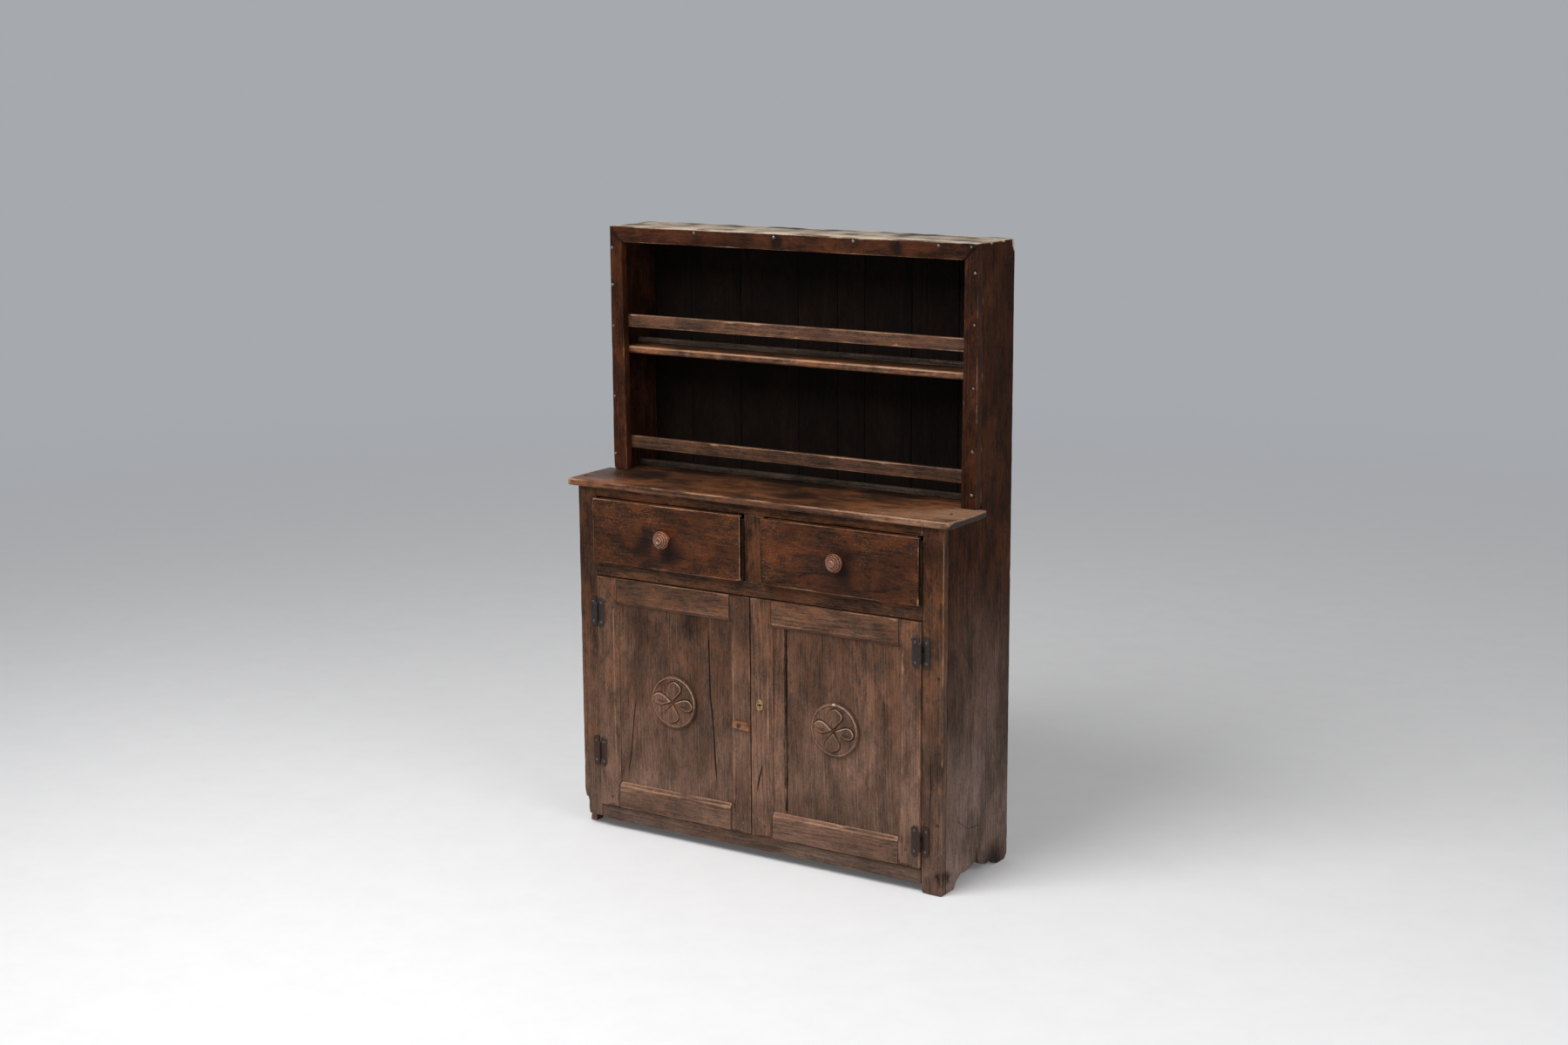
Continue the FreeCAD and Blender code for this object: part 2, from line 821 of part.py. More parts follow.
def door(side, at, left, right, hinge_is_left):
    """A framed door: two stiles, two tenoned rails with a mitred bevel, a panel and a rosette."""
    name = f"door_{side}"
    stile = size("door_stile_width")
    rail = size("door_rail_height")
    bevel = size("door_bevel_width")
    low = at["door_low"]
    high = at["door_high"]
    y = (at["door_front"], at["door_back"])
    open_x = (left + stile, right - stile)
    open_z = (low + rail, high - rail)
    panel_front = at["door_front"] + size("panel_setback")
    panel_y = (panel_front, panel_front + size("panel_thickness"))
    tongue = size("panel_tongue") + size("panel_room")

    def bevel_cut(piece):
        wedge = document.addObject("Part::Wedge", f"{piece}_bevel")
        bind(wedge, Xmin=open_x[0] - bevel, Xmax=open_x[1] + bevel,
             Zmin=open_z[0] - bevel, Zmax=open_z[1] + bevel,
             X2min=open_x[0], X2max=open_x[1], Z2min=open_z[0], Z2max=open_z[1],
             Ymin=y[0], Ymax=y[0] + size("door_bevel_depth"))
        return wedge

    def groove_cut(piece):
        return box(f"{piece}_groove", (open_x[0] - tongue, open_x[1] + tongue), panel_y,
                   (open_z[0] - tongue, open_z[1] + tongue))

    tenon_y = (y[0] + size("door_thickness") / 2 - size("tenon_thickness") / 2,
               y[0] + size("door_thickness") / 2 + size("tenon_thickness") / 2)
    shoulder = size("tenon_shoulder")
    tenon_z = {
        "bottom": (low + shoulder, open_z[0] - shoulder),
        "top": (open_z[1] + shoulder, high - shoulder),
    }
    tenon_x = (open_x[0] - size("tenon_length"), open_x[1] + size("tenon_length"))

    def door_stile(piece, span):
        blank = box(piece + "_blank", span, y, (low, high))
        tools = [bevel_cut(piece), groove_cut(piece)]
        for place, heights in tenon_z.items():
            tools.append(box(f"{piece}_{place}_mortise", tenon_x, tenon_y, heights))
        return blank, tools

    def door_rail(piece, place, heights):
        blank = box(piece + "_blank", open_x, y, heights)
        tongue_bar = box(piece + "_tenons", tenon_x, tenon_y, tenon_z[place])
        board = fused(piece + "_board", [blank, tongue_bar])
        register(piece, cut(piece + "_cut", board, [bevel_cut(piece), groove_cut(piece)]))

    spans = {"left": (left, open_x[0]), "right": (open_x[1], right)}
    hinge_side = "left" if hinge_is_left else "right"
    meeting_side = "right" if hinge_is_left else "left"
    blank, tools = door_stile(name + "_hinge_stile", spans[hinge_side])
    register(name + "_hinge_stile", cut(name + "_hinge_stile_cut", blank, tools))
    blank, tools = door_stile(name + "_meeting_stile", spans[meeting_side])
    if hinge_is_left:
        tools.append(screw_hole(at, right))
    else:
        tools.append(keyhole(at, left))
    register(name + "_meeting_stile", cut(name + "_meeting_stile_cut", blank, tools))
    door_rail(name + "_top_rail", "top", (open_z[1], high))
    door_rail(name + "_bottom_rail", "bottom", (low, open_z[0]))
    door_panel(name, panel_y, open_x, open_z, split=not hinge_is_left)
    rosette(name + "_rosette", at, (left + right) / 2, panel_front)


def door_panel(name, y, open_x, open_z, split):
    """A flat panel whose edges lie in the frame's grooves; one of them has come apart in two."""
    tongue = size("panel_tongue")
    x = (open_x[0] - tongue, open_x[1] + tongue)
    z = (open_z[0] - tongue, open_z[1] + tongue)
    if not split:
        register(name + "_panel", box(name + "_panel_board", x, y, z))
        return
    joint = open_x[0] + size("panel_strip_width")
    strip = box(name + "_panel_strip", (x[0], joint), y, z)
    board = box(name + "_panel_board", (joint + size("panel_crack"), x[1]), y, z)
    register(name + "_panel", group(name + "_panel_set", [strip, board]))


def rosette(name, at, centre, face):
    """A round of oak with a bevelled edge, a sunk ground and four raised petals."""
    radius = size("rosette_diameter") / 2
    thick = size("rosette_thickness")
    bevel = size("rosette_bevel")
    relief = size("rosette_ground_depth")
    ground = thick - relief
    field = radius - bevel - size("rosette_border")
    body = turned_piece(name, "XZ_Plane", [
        (ZERO, ZERO), (radius, ZERO), (radius, thick - bevel), (radius - bevel, thick),
        (field, thick), (field, ground), (ZERO, ground),
    ])
    half = size("petal_width") / 2
    widest = size("petal_widest_radius")
    petal = pad(body, name + "_petal", "XY_Plane", ground, relief, [
        (size("petal_point_radius"), ZERO),
        (widest, -half, half * PETAL_END_SHARE),
        (widest, half),
    ])
    petals = body.newObject("PartDesign::PolarPattern", name + "_petals")
    petals.Originals = [petal]
    petals.Axis = (petal.Profile[0], ["N_Axis"])
    petals.Angle = 360
    petals.Occurrences = PETAL_COUNT
    body.Tip = petals
    turn = FreeCAD.Rotation(Z_AXIS, ROSETTE_TURN_DEGREES)
    body.Placement = FreeCAD.Placement(FreeCAD.Vector(), STAND_UP * turn)
    bind(body, Placement__Base__x=centre, Placement__Base__y=face,
         Placement__Base__z=at["door_middle"] + size("rosette_lift"))
    register(name, body)


# Hinges

def hinge(side, place, at, sign):
    """A lift-off hinge: its frame leaf, the pin that stands in it, and the door leaf over both."""
    inset = size(f"{side}_{place}_hinge_inset")
    height = at["door_high"] - inset if place == "upper" else at["door_low"] + inset
    axis_x = (at["opening"] - size("door_gap") / 2) * sign
    knuckle = size("hinge_knuckle_diameter") / 2
    axis_y = at["door_front"] - size("hinge_axis_lift")
    pin_radius = size("hinge_pin_diameter") / 2
    near = knuckle + size("hinge_leaf_room")
    far = near + size("hinge_leaf_width")
    clip = size("hinge_corner_clip")
    half = size("hinge_leaf_height") / 2
    reach = size("hinge_knuckle_height")
    slack = size("hinge_knuckle_gap")
    thick = size("hinge_leaf_thickness")
    low = height - reach
    name = f"hinge_{side}_{place}"

    def leaf_outline(way, tab_low, tab_high, tab_near):
        points = [
            (near, -half), (far - clip, -half), (far, clip - half), (far, half - clip),
            (far - clip, half), (near, half), (near, tab_high), (tab_near, tab_high),
            (tab_near, tab_low), (near, tab_low),
        ]
        return [(axis_x + across * way, height + up) for across, up in points]

    def bored(role, pieces):
        solid = fused(f"{name}_{role}_set", pieces)
        bore = rod(f"{name}_{role}_bore", axis_x, axis_y, low - size("cut_overrun"),
                   pin_radius + size("hinge_pin_clearance"), (reach + size("cut_overrun")) * 2)
        return cut(f"{name}_{role}", solid, [bore])

    frame_plate = new_body(name + "_frame_plate")
    wall_far = knuckle - thick
    pad(frame_plate, name + "_frame_sheet", "XZ_Plane", -at["front"], thick,
        leaf_outline(sign, -reach, -slack, wall_far))
    wall_x = sorted([axis_x + wall_far * sign, axis_x + knuckle * sign], key=value_of)
    wall = box(name + "_frame_wall", wall_x, (axis_y, at["front"]), (low, height - slack))
    barrel = rod(name + "_frame_barrel", axis_x, axis_y, low, knuckle, reach - slack)
    frame_leaf = bored("frame_leaf", [frame_plate, wall, barrel])

    door_plate = new_body(name + "_door_plate")
    pad(door_plate, name + "_door_sheet", "XZ_Plane", -at["door_front"], thick,
        leaf_outline(-sign, slack, reach, pin_radius))
    sleeve = rod(name + "_door_barrel", axis_x, axis_y, height + slack, knuckle, reach - slack)
    door_leaf = bored("door_leaf", [door_plate, sleeve])

    pin_bar = rod(name + "_pin", axis_x, axis_y, low, pin_radius, reach * 2 - thick)
    return frame_leaf, pin_bar, door_leaf


def hinges(at):
    """Two hinges for each door; like pieces that move together share a node."""
    frame_leaves = []
    pins = []
    for side, sign in (("left", -1), ("right", 1)):
        door_leaves = []
        for place in ("upper", "lower"):
            frame_leaf, pin_bar, door_leaf = hinge(side, place, at, sign)
            frame_leaves.append(frame_leaf)
            pins.append(pin_bar)
            door_leaves.append(door_leaf)
        register(f"door_{side}_hinge_leaves", group(f"{side}_door_leaf_pair", door_leaves))
    register("frame_hinge_leaves", group("frame_leaf_set", frame_leaves))
    register("hinge_pins", group("hinge_pin_set", pins))


# Lock and turn button

def keyhole(at, door_left):
    """The keyhole through the stile: a round with a slot below it."""
    x = door_left + size("lock_centre_run")
    z = at["lock"]
    over = size("cut_overrun")
    through = size("door_thickness") + over * 2
    eye = rod("keyhole_eye", x, at["door_back"] + over, z, size("keyhole_diameter") / 2, through,
              TOWARDS_FRONT)
    half = size("keyhole_slot_width") / 2
    slot = box("keyhole_slot", (x - half, x + half),
               (at["door_front"] - over, at["door_back"] + over),
               (z - size("keyhole_slot_height"), z))
    return fused("keyhole_cut", [eye, slot])


def lock(at, door_left):
    """A rim lock on the back of the right door, its bolt and the oval round the keyhole."""
    x = door_left + size("lock_centre_run")
    z = at["lock"]
    ring = document.addObject("Part::Ellipse", "escutcheon_outline")
    ring.Placement = FreeCAD.Placement(FreeCAD.Vector(), STAND_UP * QUARTER_TURN)
    bind(ring, MajorRadius=size("escutcheon_height") / 2, MinorRadius=size("escutcheon_width") / 2)
    bind(ring, Placement__Base__x=x, Placement__Base__y=at["door_front"], Placement__Base__z=z)
    plate = document.addObject("Part::Extrusion", "escutcheon_plate")
    plate.Base = ring
    plate.DirMode = "Custom"
    plate.Dir = FreeCAD.Vector(0, -1, 0)
    plate.Solid = True
    bind(plate, LengthFwd=size("escutcheon_thickness"))
    over = size("cut_overrun")
    eye = rod("escutcheon_eye", x, at["door_front"] + over, z, size("keyhole_diameter") / 2,
              size("escutcheon_thickness") + over * 2, TOWARDS_FRONT)
    half = size("keyhole_slot_width") / 2
    slot = box("escutcheon_slot", (x - half, x + half),
               (at["door_front"] - over, at["door_front"] + over),
               (z - size("keyhole_slot_height"), z))
    register("escutcheon", cut("escutcheon_cut", plate, [fused("escutcheon_hole", [eye, slot])]))

    wall = size("lock_case_wall")
    case_left = door_left + size("door_gap")
    case_x = (case_left, case_left + size("lock_case_width"))
    case_z = (z - size("lock_case_height") / 2, z + size("lock_case_height") / 2)
    case_y = (at["door_back"], at["door_back"] + size("lock_case_depth"))
    room = size("bolt_clearance")
    bolt_y = (at["door_back"] + wall, at["door_back"] + wall + size("bolt_thickness"))
    bolt_middle = z + size("bolt_lift")
    bolt_z = (bolt_middle - size("bolt_height") / 2, bolt_middle + size("bolt_height") / 2)
    block = box("lock_case_block", case_x, case_y, case_z)
    hollow = box("lock_case_hollow", (case_x[0] + wall, case_x[1] - wall),
                 (case_y[0] - over, case_y[1] - wall), (case_z[0] + wall, case_z[1] - wall))
    mouth = box("lock_case_mouth", (case_x[0] - over, case_x[0] + wall + over),
                (bolt_y[0] - room, bolt_y[1] + room), (bolt_z[0] - room, bolt_z[1] + room))
    register("lock_case", cut("lock_case_shell", block, [hollow, mouth]))
    bar = box("lock_bolt_bar", (case_x[0], case_x[0] + size("bolt_length")), bolt_y, bolt_z)
    half_notch = size("bolt_notch_width") / 2
    notch = box("lock_bolt_notch", (x - half_notch, x + half_notch),
                (bolt_y[0] - over, bolt_y[1] + over),
                (bolt_z[0] - over, bolt_z[0] + size("bolt_notch_depth")))
    register("lock_bolt", cut("lock_bolt_piece", bar, [notch]))


def screw_hole(at, door_right):
    """The hole for the screw that the turn button swings on."""
    x = door_right - size("button_pivot_run")
    return rod("button_screw_hole", x, at["door_front"] + size("screw_length"), at["button"],
               size("screw_shank_diameter") / 2 + size("peg_clearance"),
               size("screw_length") + size("cut_overrun"), TOWARDS_FRONT)


def turn_button(at, door_right):
    """A wooden button on a screw: turned across the gap, it stands against the other door."""
    x = door_right - size("button_pivot_run")
    z = at["button"]
    half = size("button_height") / 2
    heel = size("button_heel")
    tip = size("button_length") - heel
    clip = size("button_tip_clip")
    rear = at["door_front"] - size("button_gap")
    outline = [
        (x - heel, z - size("button_heel_drop")),
        (x + tip, z - half),
        (x + tip, z + half - clip),
        (x + tip - clip, z + half),
        (x - heel, z + half),
    ]
    body = new_body("turn_button_blank")
    pad(body, "turn_button_board", "XZ_Plane", -rear, size("button_thickness"), outline)
    shank = size("screw_shank_diameter") / 2
    hole = rod("turn_button_hole", x, rear + size("cut_overrun"), z,
               shank + size("peg_clearance"),
               size("button_thickness") + size("cut_overrun") * 2, TOWARDS_FRONT)
    register("turn_button", cut("turn_button_piece", body, [hole]))
    head_back = rear - size("button_thickness") - size("button_gap")
    length = at["door_front"] + size("screw_length") - head_back
    stem = rod("screw_stem", x, head_back + length, z, shank, length, TOWARDS_FRONT)
    head = rod("screw_head", x, head_back, z, size("screw_head_diameter") / 2,
               size("screw_head_height"), TOWARDS_FRONT)
    register("button_screw", fused("button_screw_set", [stem, head]))


def check_and_write():
    """Stop on any failed object or shape; otherwise write one file per piece."""
    document.recompute()
    for item in document.Objects:
        if "Invalid" in item.State or "Error" in item.State:
            raise RuntimeError(f"{item.Name} failed: {item.State}")
    for name, item in nodes:
        shape = item.Shape
        if shape.isNull() or not shape.isValid() or not shape.Solids:
            raise RuntimeError(f"{name} has no valid shape")
    os.makedirs("parts", exist_ok=True)
    for name, item in nodes:
        item.Shape.exportStep(f"parts/{name}.step")


X_AXIS = FreeCAD.Vector(1, 0, 0)
Z_AXIS = FreeCAD.Vector(0, 0, 1)
TOWARDS_FRONT = FreeCAD.Rotation(X_AXIS, 90)
STAND_UP = FreeCAD.Rotation(X_AXIS, 90)
TURN_OVER = FreeCAD.Rotation(Z_AXIS, 180)
QUARTER_TURN = FreeCAD.Rotation(Z_AXIS, 90)


def build():
    fill_sheet()
    at = places()
    side_board("side_board_left", at, True)
    side_board("side_board_right", at, False)
    back_boards(at)
    counter_board(at)
    cupboard_floor(at)
    inner_shelf(at)
    face_frame(at)
    drawer_runners(at)
    rack_frame(at)
    rack_boards(at)
    drawer("left", at, -at["opening"], at["divider_left"])
    drawer("right", at, at["divider_right"], at["opening"])
    meeting = -size("door_meeting_shift")
    half_gap = size("door_meeting_gap") / 2
    outer = at["opening"] - size("door_gap")
    door("left", at, -outer, meeting - half_gap, True)
    door("right", at, meeting + half_gap, outer, False)
    hinges(at)
    lock(at, meeting + half_gap)
    turn_button(at, meeting - half_gap)
    check_and_write()
    print(f"{len(nodes)} pieces written")


build()
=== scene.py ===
"""Looks of a joined oak cupboard with two drawers, two panelled doors and an open plate rack."""
import json
import math
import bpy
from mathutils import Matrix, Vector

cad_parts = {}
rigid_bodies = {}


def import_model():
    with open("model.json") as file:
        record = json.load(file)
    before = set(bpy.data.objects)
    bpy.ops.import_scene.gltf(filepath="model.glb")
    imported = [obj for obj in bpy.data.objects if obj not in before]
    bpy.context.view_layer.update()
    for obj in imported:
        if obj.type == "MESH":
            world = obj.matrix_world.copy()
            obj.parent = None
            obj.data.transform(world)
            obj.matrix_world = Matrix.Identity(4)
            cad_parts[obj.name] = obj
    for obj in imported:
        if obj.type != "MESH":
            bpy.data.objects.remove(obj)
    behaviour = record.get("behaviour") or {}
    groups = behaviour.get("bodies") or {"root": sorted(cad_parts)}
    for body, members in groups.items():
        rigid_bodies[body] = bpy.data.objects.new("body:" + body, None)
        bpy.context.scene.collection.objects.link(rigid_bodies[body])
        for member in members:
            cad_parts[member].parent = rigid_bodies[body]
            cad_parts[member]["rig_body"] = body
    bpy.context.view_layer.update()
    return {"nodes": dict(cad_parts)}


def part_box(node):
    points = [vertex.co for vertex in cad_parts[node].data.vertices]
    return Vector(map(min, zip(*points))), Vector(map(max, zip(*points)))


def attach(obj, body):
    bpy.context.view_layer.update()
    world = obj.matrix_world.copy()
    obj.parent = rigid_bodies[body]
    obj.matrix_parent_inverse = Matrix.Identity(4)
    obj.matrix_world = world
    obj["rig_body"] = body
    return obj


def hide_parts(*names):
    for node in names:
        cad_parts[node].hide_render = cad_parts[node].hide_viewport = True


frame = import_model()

import zlib

import bmesh
import bpy
import numpy as np
from bpy.props import FloatProperty, FloatVectorProperty, IntProperty, PointerProperty
from mathutils import Matrix, Vector, noise

bl_info = {
    "name": "Oak cupboard",
    "version": (1, 0, 0),
    "blender": (4, 5, 0),
    "location": "3D View > Sidebar > Cupboard",
    "description": "Dresses the frame of an old oak cupboard with worn boards, iron and brass",
    "category": "Object",
}

MM = 0.001


# Settings

def tone(red, green, blue):
    """A display colour, 0 to 255, as the linear colour that shaders use."""
    linear = []
    for part in (red, green, blue):
        level = part / 255
        linear.append(level / 12.92 if level <= 0.04045 else ((level + 0.055) / 1.055) ** 2.4)
    return tuple(linear)


def colour(name, description, *display):
    return FloatVectorProperty(name=name, description=description, subtype="COLOR", size=3,
                               min=0, max=1, default=tone(*display))


def length(name, description, millimetres):
    return FloatProperty(name=name, description=description, default=millimetres * MM,
                         unit="LENGTH", precision=4)


def share(name, description, value):
    return FloatProperty(name=name, description=description, default=value, min=0, max=2)


def angle(name, description, degrees):
    return FloatProperty(name=name, description=description, default=math.radians(degrees),
                         subtype="ANGLE")


def power(name, description, watts):
    return FloatProperty(name=name, description=description, default=watts, subtype="POWER", min=0)


# Display colours of each oak, in the order of OAK_TONES, and where it is
OAK_COLOURS = {
    # The side boards' colours are darker than the lower frame's, partly as painted shade on the
    # sides.
    "side": ("side boards", (21, 11, 6), (74, 43, 26), (78, 41, 19), (156, 132, 121)),
    "case": ("lower frame", (30, 17, 11), (96, 66, 49), (112, 64, 32), (124, 100, 86)),
    "front": ("doors", (42, 26, 18), (114, 82, 64), (124, 74, 41), (144, 112, 95)),
    "drawer": ("drawer fronts", (18, 9, 5), (86, 51, 31), (94, 47, 22)),
    "counter": ("counter", (32, 18, 11), (120, 78, 51), (132, 80, 46)),
    "rack": ("rack's frame", (26, 14, 9), (70, 39, 24), (82, 43, 22)),
    "rail": ("guard rails", (42, 26, 17), (106, 74, 55), (108, 66, 40)),
    "dusty": ("dusty battens and shelves", (36, 30, 26), (96, 84, 74), (78, 56, 42)),
    # The back boards are dark wood, made darker still as painted shade inside the rack.
    "inner": ("back boards", (7, 4, 3), (26, 17, 12), (30, 17, 11), (138, 116, 96)),
    "box": ("drawer boxes", (78, 53, 37), (146, 111, 82), (138, 93, 60)),
    "knob": ("knobs", (84, 44, 28), (170, 108, 74), (160, 88, 56)),
    "button": ("turn button", (84, 50, 27), (190, 130, 84), (172, 104, 58)),
}
# The greying tone is old wood gone grey, and towards the floor it is also painted sheen from the
# floor.
OAK_TONES = {"dark": "Dark grain", "light": "Light grain", "warm": "Reddish patches",
             "bloom": "Greyed wood"}


class CupboardFinish(bpy.types.PropertyGroup):
    """Colours of the woods and metals."""
    fleck: colour("Rays", "Short pale rays in the oak", 150, 108, 68)
    # The worn colour is also the colour of painted highlights on faces that look up and forward and
    # on the knobs' crests; the rubbing share sets how much they take of it.
    worn: colour("Worn edges", "Wood rubbed bare along the edges", 190, 144, 112)
    # This colour is also used for the painted highlights on the rosettes.
    bare: colour("Bare wood", "Unfinished, bleached wood", 226, 208, 184)
    # This dark colour is also painted shade inside the cupboard and the rack, on the drawer fronts'
    # ends, on the knobs' necks and in the rosettes' hollows and edge walls.
    grime_and_shade: colour("Grime", "Dirt in the hollows and dark stains", 14, 9, 7)
    rub_and_highlight_share: share("Rubbing", "How much a worn edge takes on the worn colour", 0.74)
    iron: colour("Iron", "Blackened iron", 40, 37, 37)
    iron_worn: colour("Worn iron", "Iron rubbed bright", 122, 116, 112)
    rust: colour("Rust", "Rust on the iron", 66, 42, 30)
    brass: colour("Brass", "Dull brass", 176, 148, 104)
    brass_dark: colour("Tarnish", "Dark tarnish on the brass", 84, 64, 42)


def add_oak_colours(fields):
    """A colour setting for each tone of each oak, such as side_dark."""
    for look, (place, *tones) in OAK_COLOURS.items():
        for (kind, words), display in zip(OAK_TONES.items(), tones):
            fields[f"{look}_{kind}"] = colour(f"{place.capitalize()}, {kind}",
                                              f"{words} of the {place}", *display)


add_oak_colours(CupboardFinish.__annotations__)


class CupboardSizes(bpy.types.PropertyGroup):
    """Sizes of the wear and of the small fittings."""
    edge_wear: length("Edge wear", "How far a worn edge is rounded, on average", 2.0)
    chip_reach: length("Chips", "How much deeper the edge is worn at a chip", 4.5)
    # Towards the floor the greying is also painted sheen from the floor.
    greying_and_sheen_height: length("Bloom", "How far above the floor the wood has greyed", 760)
    surface_wander: length("Uneven surface", "Depth of the hollows in hand-planed boards", 0.5)
    crack_depth: length("Crack depth", "Depth of the drying cracks", 5)
    crack_width: length("Crack width", "Width of the drying cracks", 1.8)
    nail_width: length("Nail head", "Width of a forged nail head", 9)
    nail_rise: length("Nail rise", "How far a nail head stands proud", 2)
    peg_width: length("Peg", "Width of the pegs in the door joints", 8)
    screw_width: length("Screw head", "Width of the hinge screws", 7)
    petal_rise: length("Petal rise", "Height of the petals over the ground of a rosette", 3.6)
    petal_cut: length("Petal cut", "Depth of the cut round each petal", 1.8)
    iron_edge: length("Iron edge", "Rounding of the iron and brass edges", 0.5)


class CupboardStage(bpy.types.PropertyGroup):
    """Camera, floor and light."""
    lens: FloatProperty(name="Lens", description="Focal length in millimetres on a 36 mm sensor",
                        default=55.77, min=10)
    place: FloatVectorProperty(name="Place", description="Where the camera stands",
                               subtype="TRANSLATION", size=3, default=(3.0683, -4.7649, 1.9602))
    turn: angle("Turn", "Turn of the camera to the left", 32.779)
    tilt: angle("Tilt", "Tilt of the camera towards the floor", 11.578)
    roll: angle("Roll", "Roll of the camera about its line of sight", -0.308)
    floor: colour("Floor", "Colour of the floor", 242, 242, 243)
    floor_glow: share("Floor glow", "How much paler the camera sees the floor", 0.08)
    backdrop: colour("Backdrop", "Colour behind the floor", 166, 169, 174)
    floor_size: length("Floor size", "Width of the floor", 60000)
    floor_fade: length("Floor fade", "Where the floor has turned into the backdrop", 8000)
    key_power: power("Key light", "Power of the light overhead", 105)
    fill_power: power("Fill light", "Power of the light from the right", 42)
    sky: share("Sky", "Strength of the even light all round", 0.26)


SETTINGS = {
    "cupboard_finish": CupboardFinish,
    "cupboard_sizes": CupboardSizes,
    "cupboard_stage": CupboardStage,
}


# Shader building

class Wiring:
    """Adds shader nodes to a tree and links their sockets as it goes."""

    def __init__(self, tree):
        self.tree = tree

    def put(self, kind, sockets=None, **settings):
        made = self.tree.nodes.new(kind)
        for name, value in settings.items():
            setattr(made, name, value)
        for key, value in (sockets or {}).items():
            self.feed(made.inputs[key], value)
        return made

    def feed(self, socket, value):
        if isinstance(value, bpy.types.NodeSocket):
            self.tree.links.new(value, socket)
        elif socket.type == "RGBA" and len(value) == 3:
            socket.default_value = (*value, 1)
        else:
            socket.default_value = value

    def count(self, operation, first, second=0.0, third=0.0):
        return self.put("ShaderNodeMath", {0: first, 1: second, 2: third},
                        operation=operation).outputs[0]

    def times(self, first, second):
        return self.count("MULTIPLY", first, second)

    def plus(self, value, factor, base):
        """The base with the value times the factor added."""
        return self.count("MULTIPLY_ADD", value, factor, base)

    def blend(self, amount, first, second, way="MIX"):
        return self.put("ShaderNodeMix", {0: amount, 6: first, 7: second},
                        data_type="RGBA", blend_type=way).outputs[2]

    def span(self, value, low, high, start=0.0, end=1.0):
        return self.put("ShaderNodeMapRange", {0: value, 1: low, 2: high, 3: start, 4: end},
                        interpolation_type="SMOOTHSTEP").outputs[0]

    def stretched(self, vector, along, across):
        return self.put("ShaderNodeVectorMath", {0: vector, 1: (along, across, across)},
                        operation="MULTIPLY").outputs[0]

    def cloud(self, vector, along, across, detail=2.0, rough=0.5, warp=0.0):
        """Noise that repeats so many times in a metre, along the grain and across it."""
        sockets = {"Vector": self.stretched(vector, along, across), "Scale": 1.0,
                   "Detail": detail, "Roughness": rough, "Distortion": warp}
        return self.put("ShaderNodeTexNoise", sockets).outputs[0]

    def attribute(self, name, output="Fac"):
        return self.put("ShaderNodeAttribute", attribute_name=name).outputs[output]


def darker(tint, amount):
    return tuple(part * amount for part in tint)


def group_named(name, inputs, outputs, fill):
    """A node group that is made once; fill wires it from its inputs to its outputs."""
    group = bpy.data.node_groups.get(name)
    if group:
        return group
    group = bpy.data.node_groups.new(name, "ShaderNodeTree")
    for label, kind in inputs.items():
        group.interface.new_socket(label, in_out="INPUT", socket_type="NodeSocket" + kind)
    for label, kind in outputs.items():
        group.interface.new_socket(label, in_out="OUTPUT", socket_type="NodeSocket" + kind)
    wires = Wiring(group)
    start = wires.put("NodeGroupInput").outputs
    end = wires.put("NodeGroupOutput").inputs
    fill(wires, start, end)
    return group


def fill_oak(wires, start, end):
    """Oak: growth rings round the pith, long streaks, fine fibres, pores and pale rays."""
    grain = start["Grain"]
    drift = wires.cloud(grain, 2.2, 7.0, detail=2.0)
    across = wires.put("ShaderNodeVectorMath", {0: grain, 1: (0, 1, 1)}, operation="MULTIPLY")
    radius = wires.put("ShaderNodeVectorMath", {0: across.outputs[0]}, operation="LENGTH")
    turns = wires.plus(radius.outputs["Value"], 240.0, wires.times(drift, 6.0))
    rings = wires.put("ShaderNodeTexNoise", {"W": turns, "Scale": 1.0, "Detail": 4.0,
                                             "Roughness": 0.7}, noise_dimensions="1D").outputs[0]
    streaks = wires.cloud(grain, 20.0, 230.0, detail=3.0, rough=0.7)
    fibres = wires.cloud(grain, 40.0, 700.0, detail=3.0, rough=0.75)
    specks = wires.cloud(grain, 170.0, 430.0, detail=3.0, rough=0.8)
    patches = wires.cloud(grain, 4.5, 10.0, detail=4.0, rough=0.6, warp=0.4)
    blots = wires.cloud(grain, 13.0, 27.0, detail=5.0, rough=0.7, warp=0.6)
    pores = wires.cloud(grain, 90.0, 1300.0, detail=1.0)
    rays = wires.cloud(grain, 190.0, 520.0, detail=2.0, rough=0.7)

    level = wires.times(streaks, 0.18)
    for marks, weight in ((rings, 0.20), (fibres, 0.27), (specks, 0.24), (blots, 0.14)):
        level = wires.plus(marks, weight, level)
    level = wires.span(level, 0.42, 0.62)
    level = wires.count("POWER", level, start["Depth"])
    base = wires.blend(level, start["Dark"], start["Light"])
    warmth = wires.times(wires.span(blots, 0.42, 0.62), start["Warmth"])
    base = wires.blend(warmth, base, start["Warm"])
    shade = wires.span(patches, 0.34, 0.66, 0.60, 1.26)
    base = wires.blend(1.0, base, wires.put("ShaderNodeCombineColor",
                                            {0: shade, 1: shade, 2: shade}).outputs[0], "MULTIPLY")
    open_pores = wires.span(pores, 0.58, 0.68)
    base = wires.blend(wires.times(open_pores, 0.5), base, start["Dark"])
    ray_places = wires.times(wires.span(rays, 0.59, 0.70),
                             wires.span(patches, 0.42, 0.62, 0.25, 1.0))
    base = wires.blend(wires.times(ray_places, start["Flecks"]), base, start["Fleck"])
    wires.feed(end["Color"], base)
    wires.feed(end["Tone"], level)
    wires.feed(end["Shade"], shade)
    height = wires.plus(fibres, 0.55, wires.times(rings, 0.45))
    height = wires.plus(open_pores, -0.5, height)
    wires.feed(end["Height"], height)


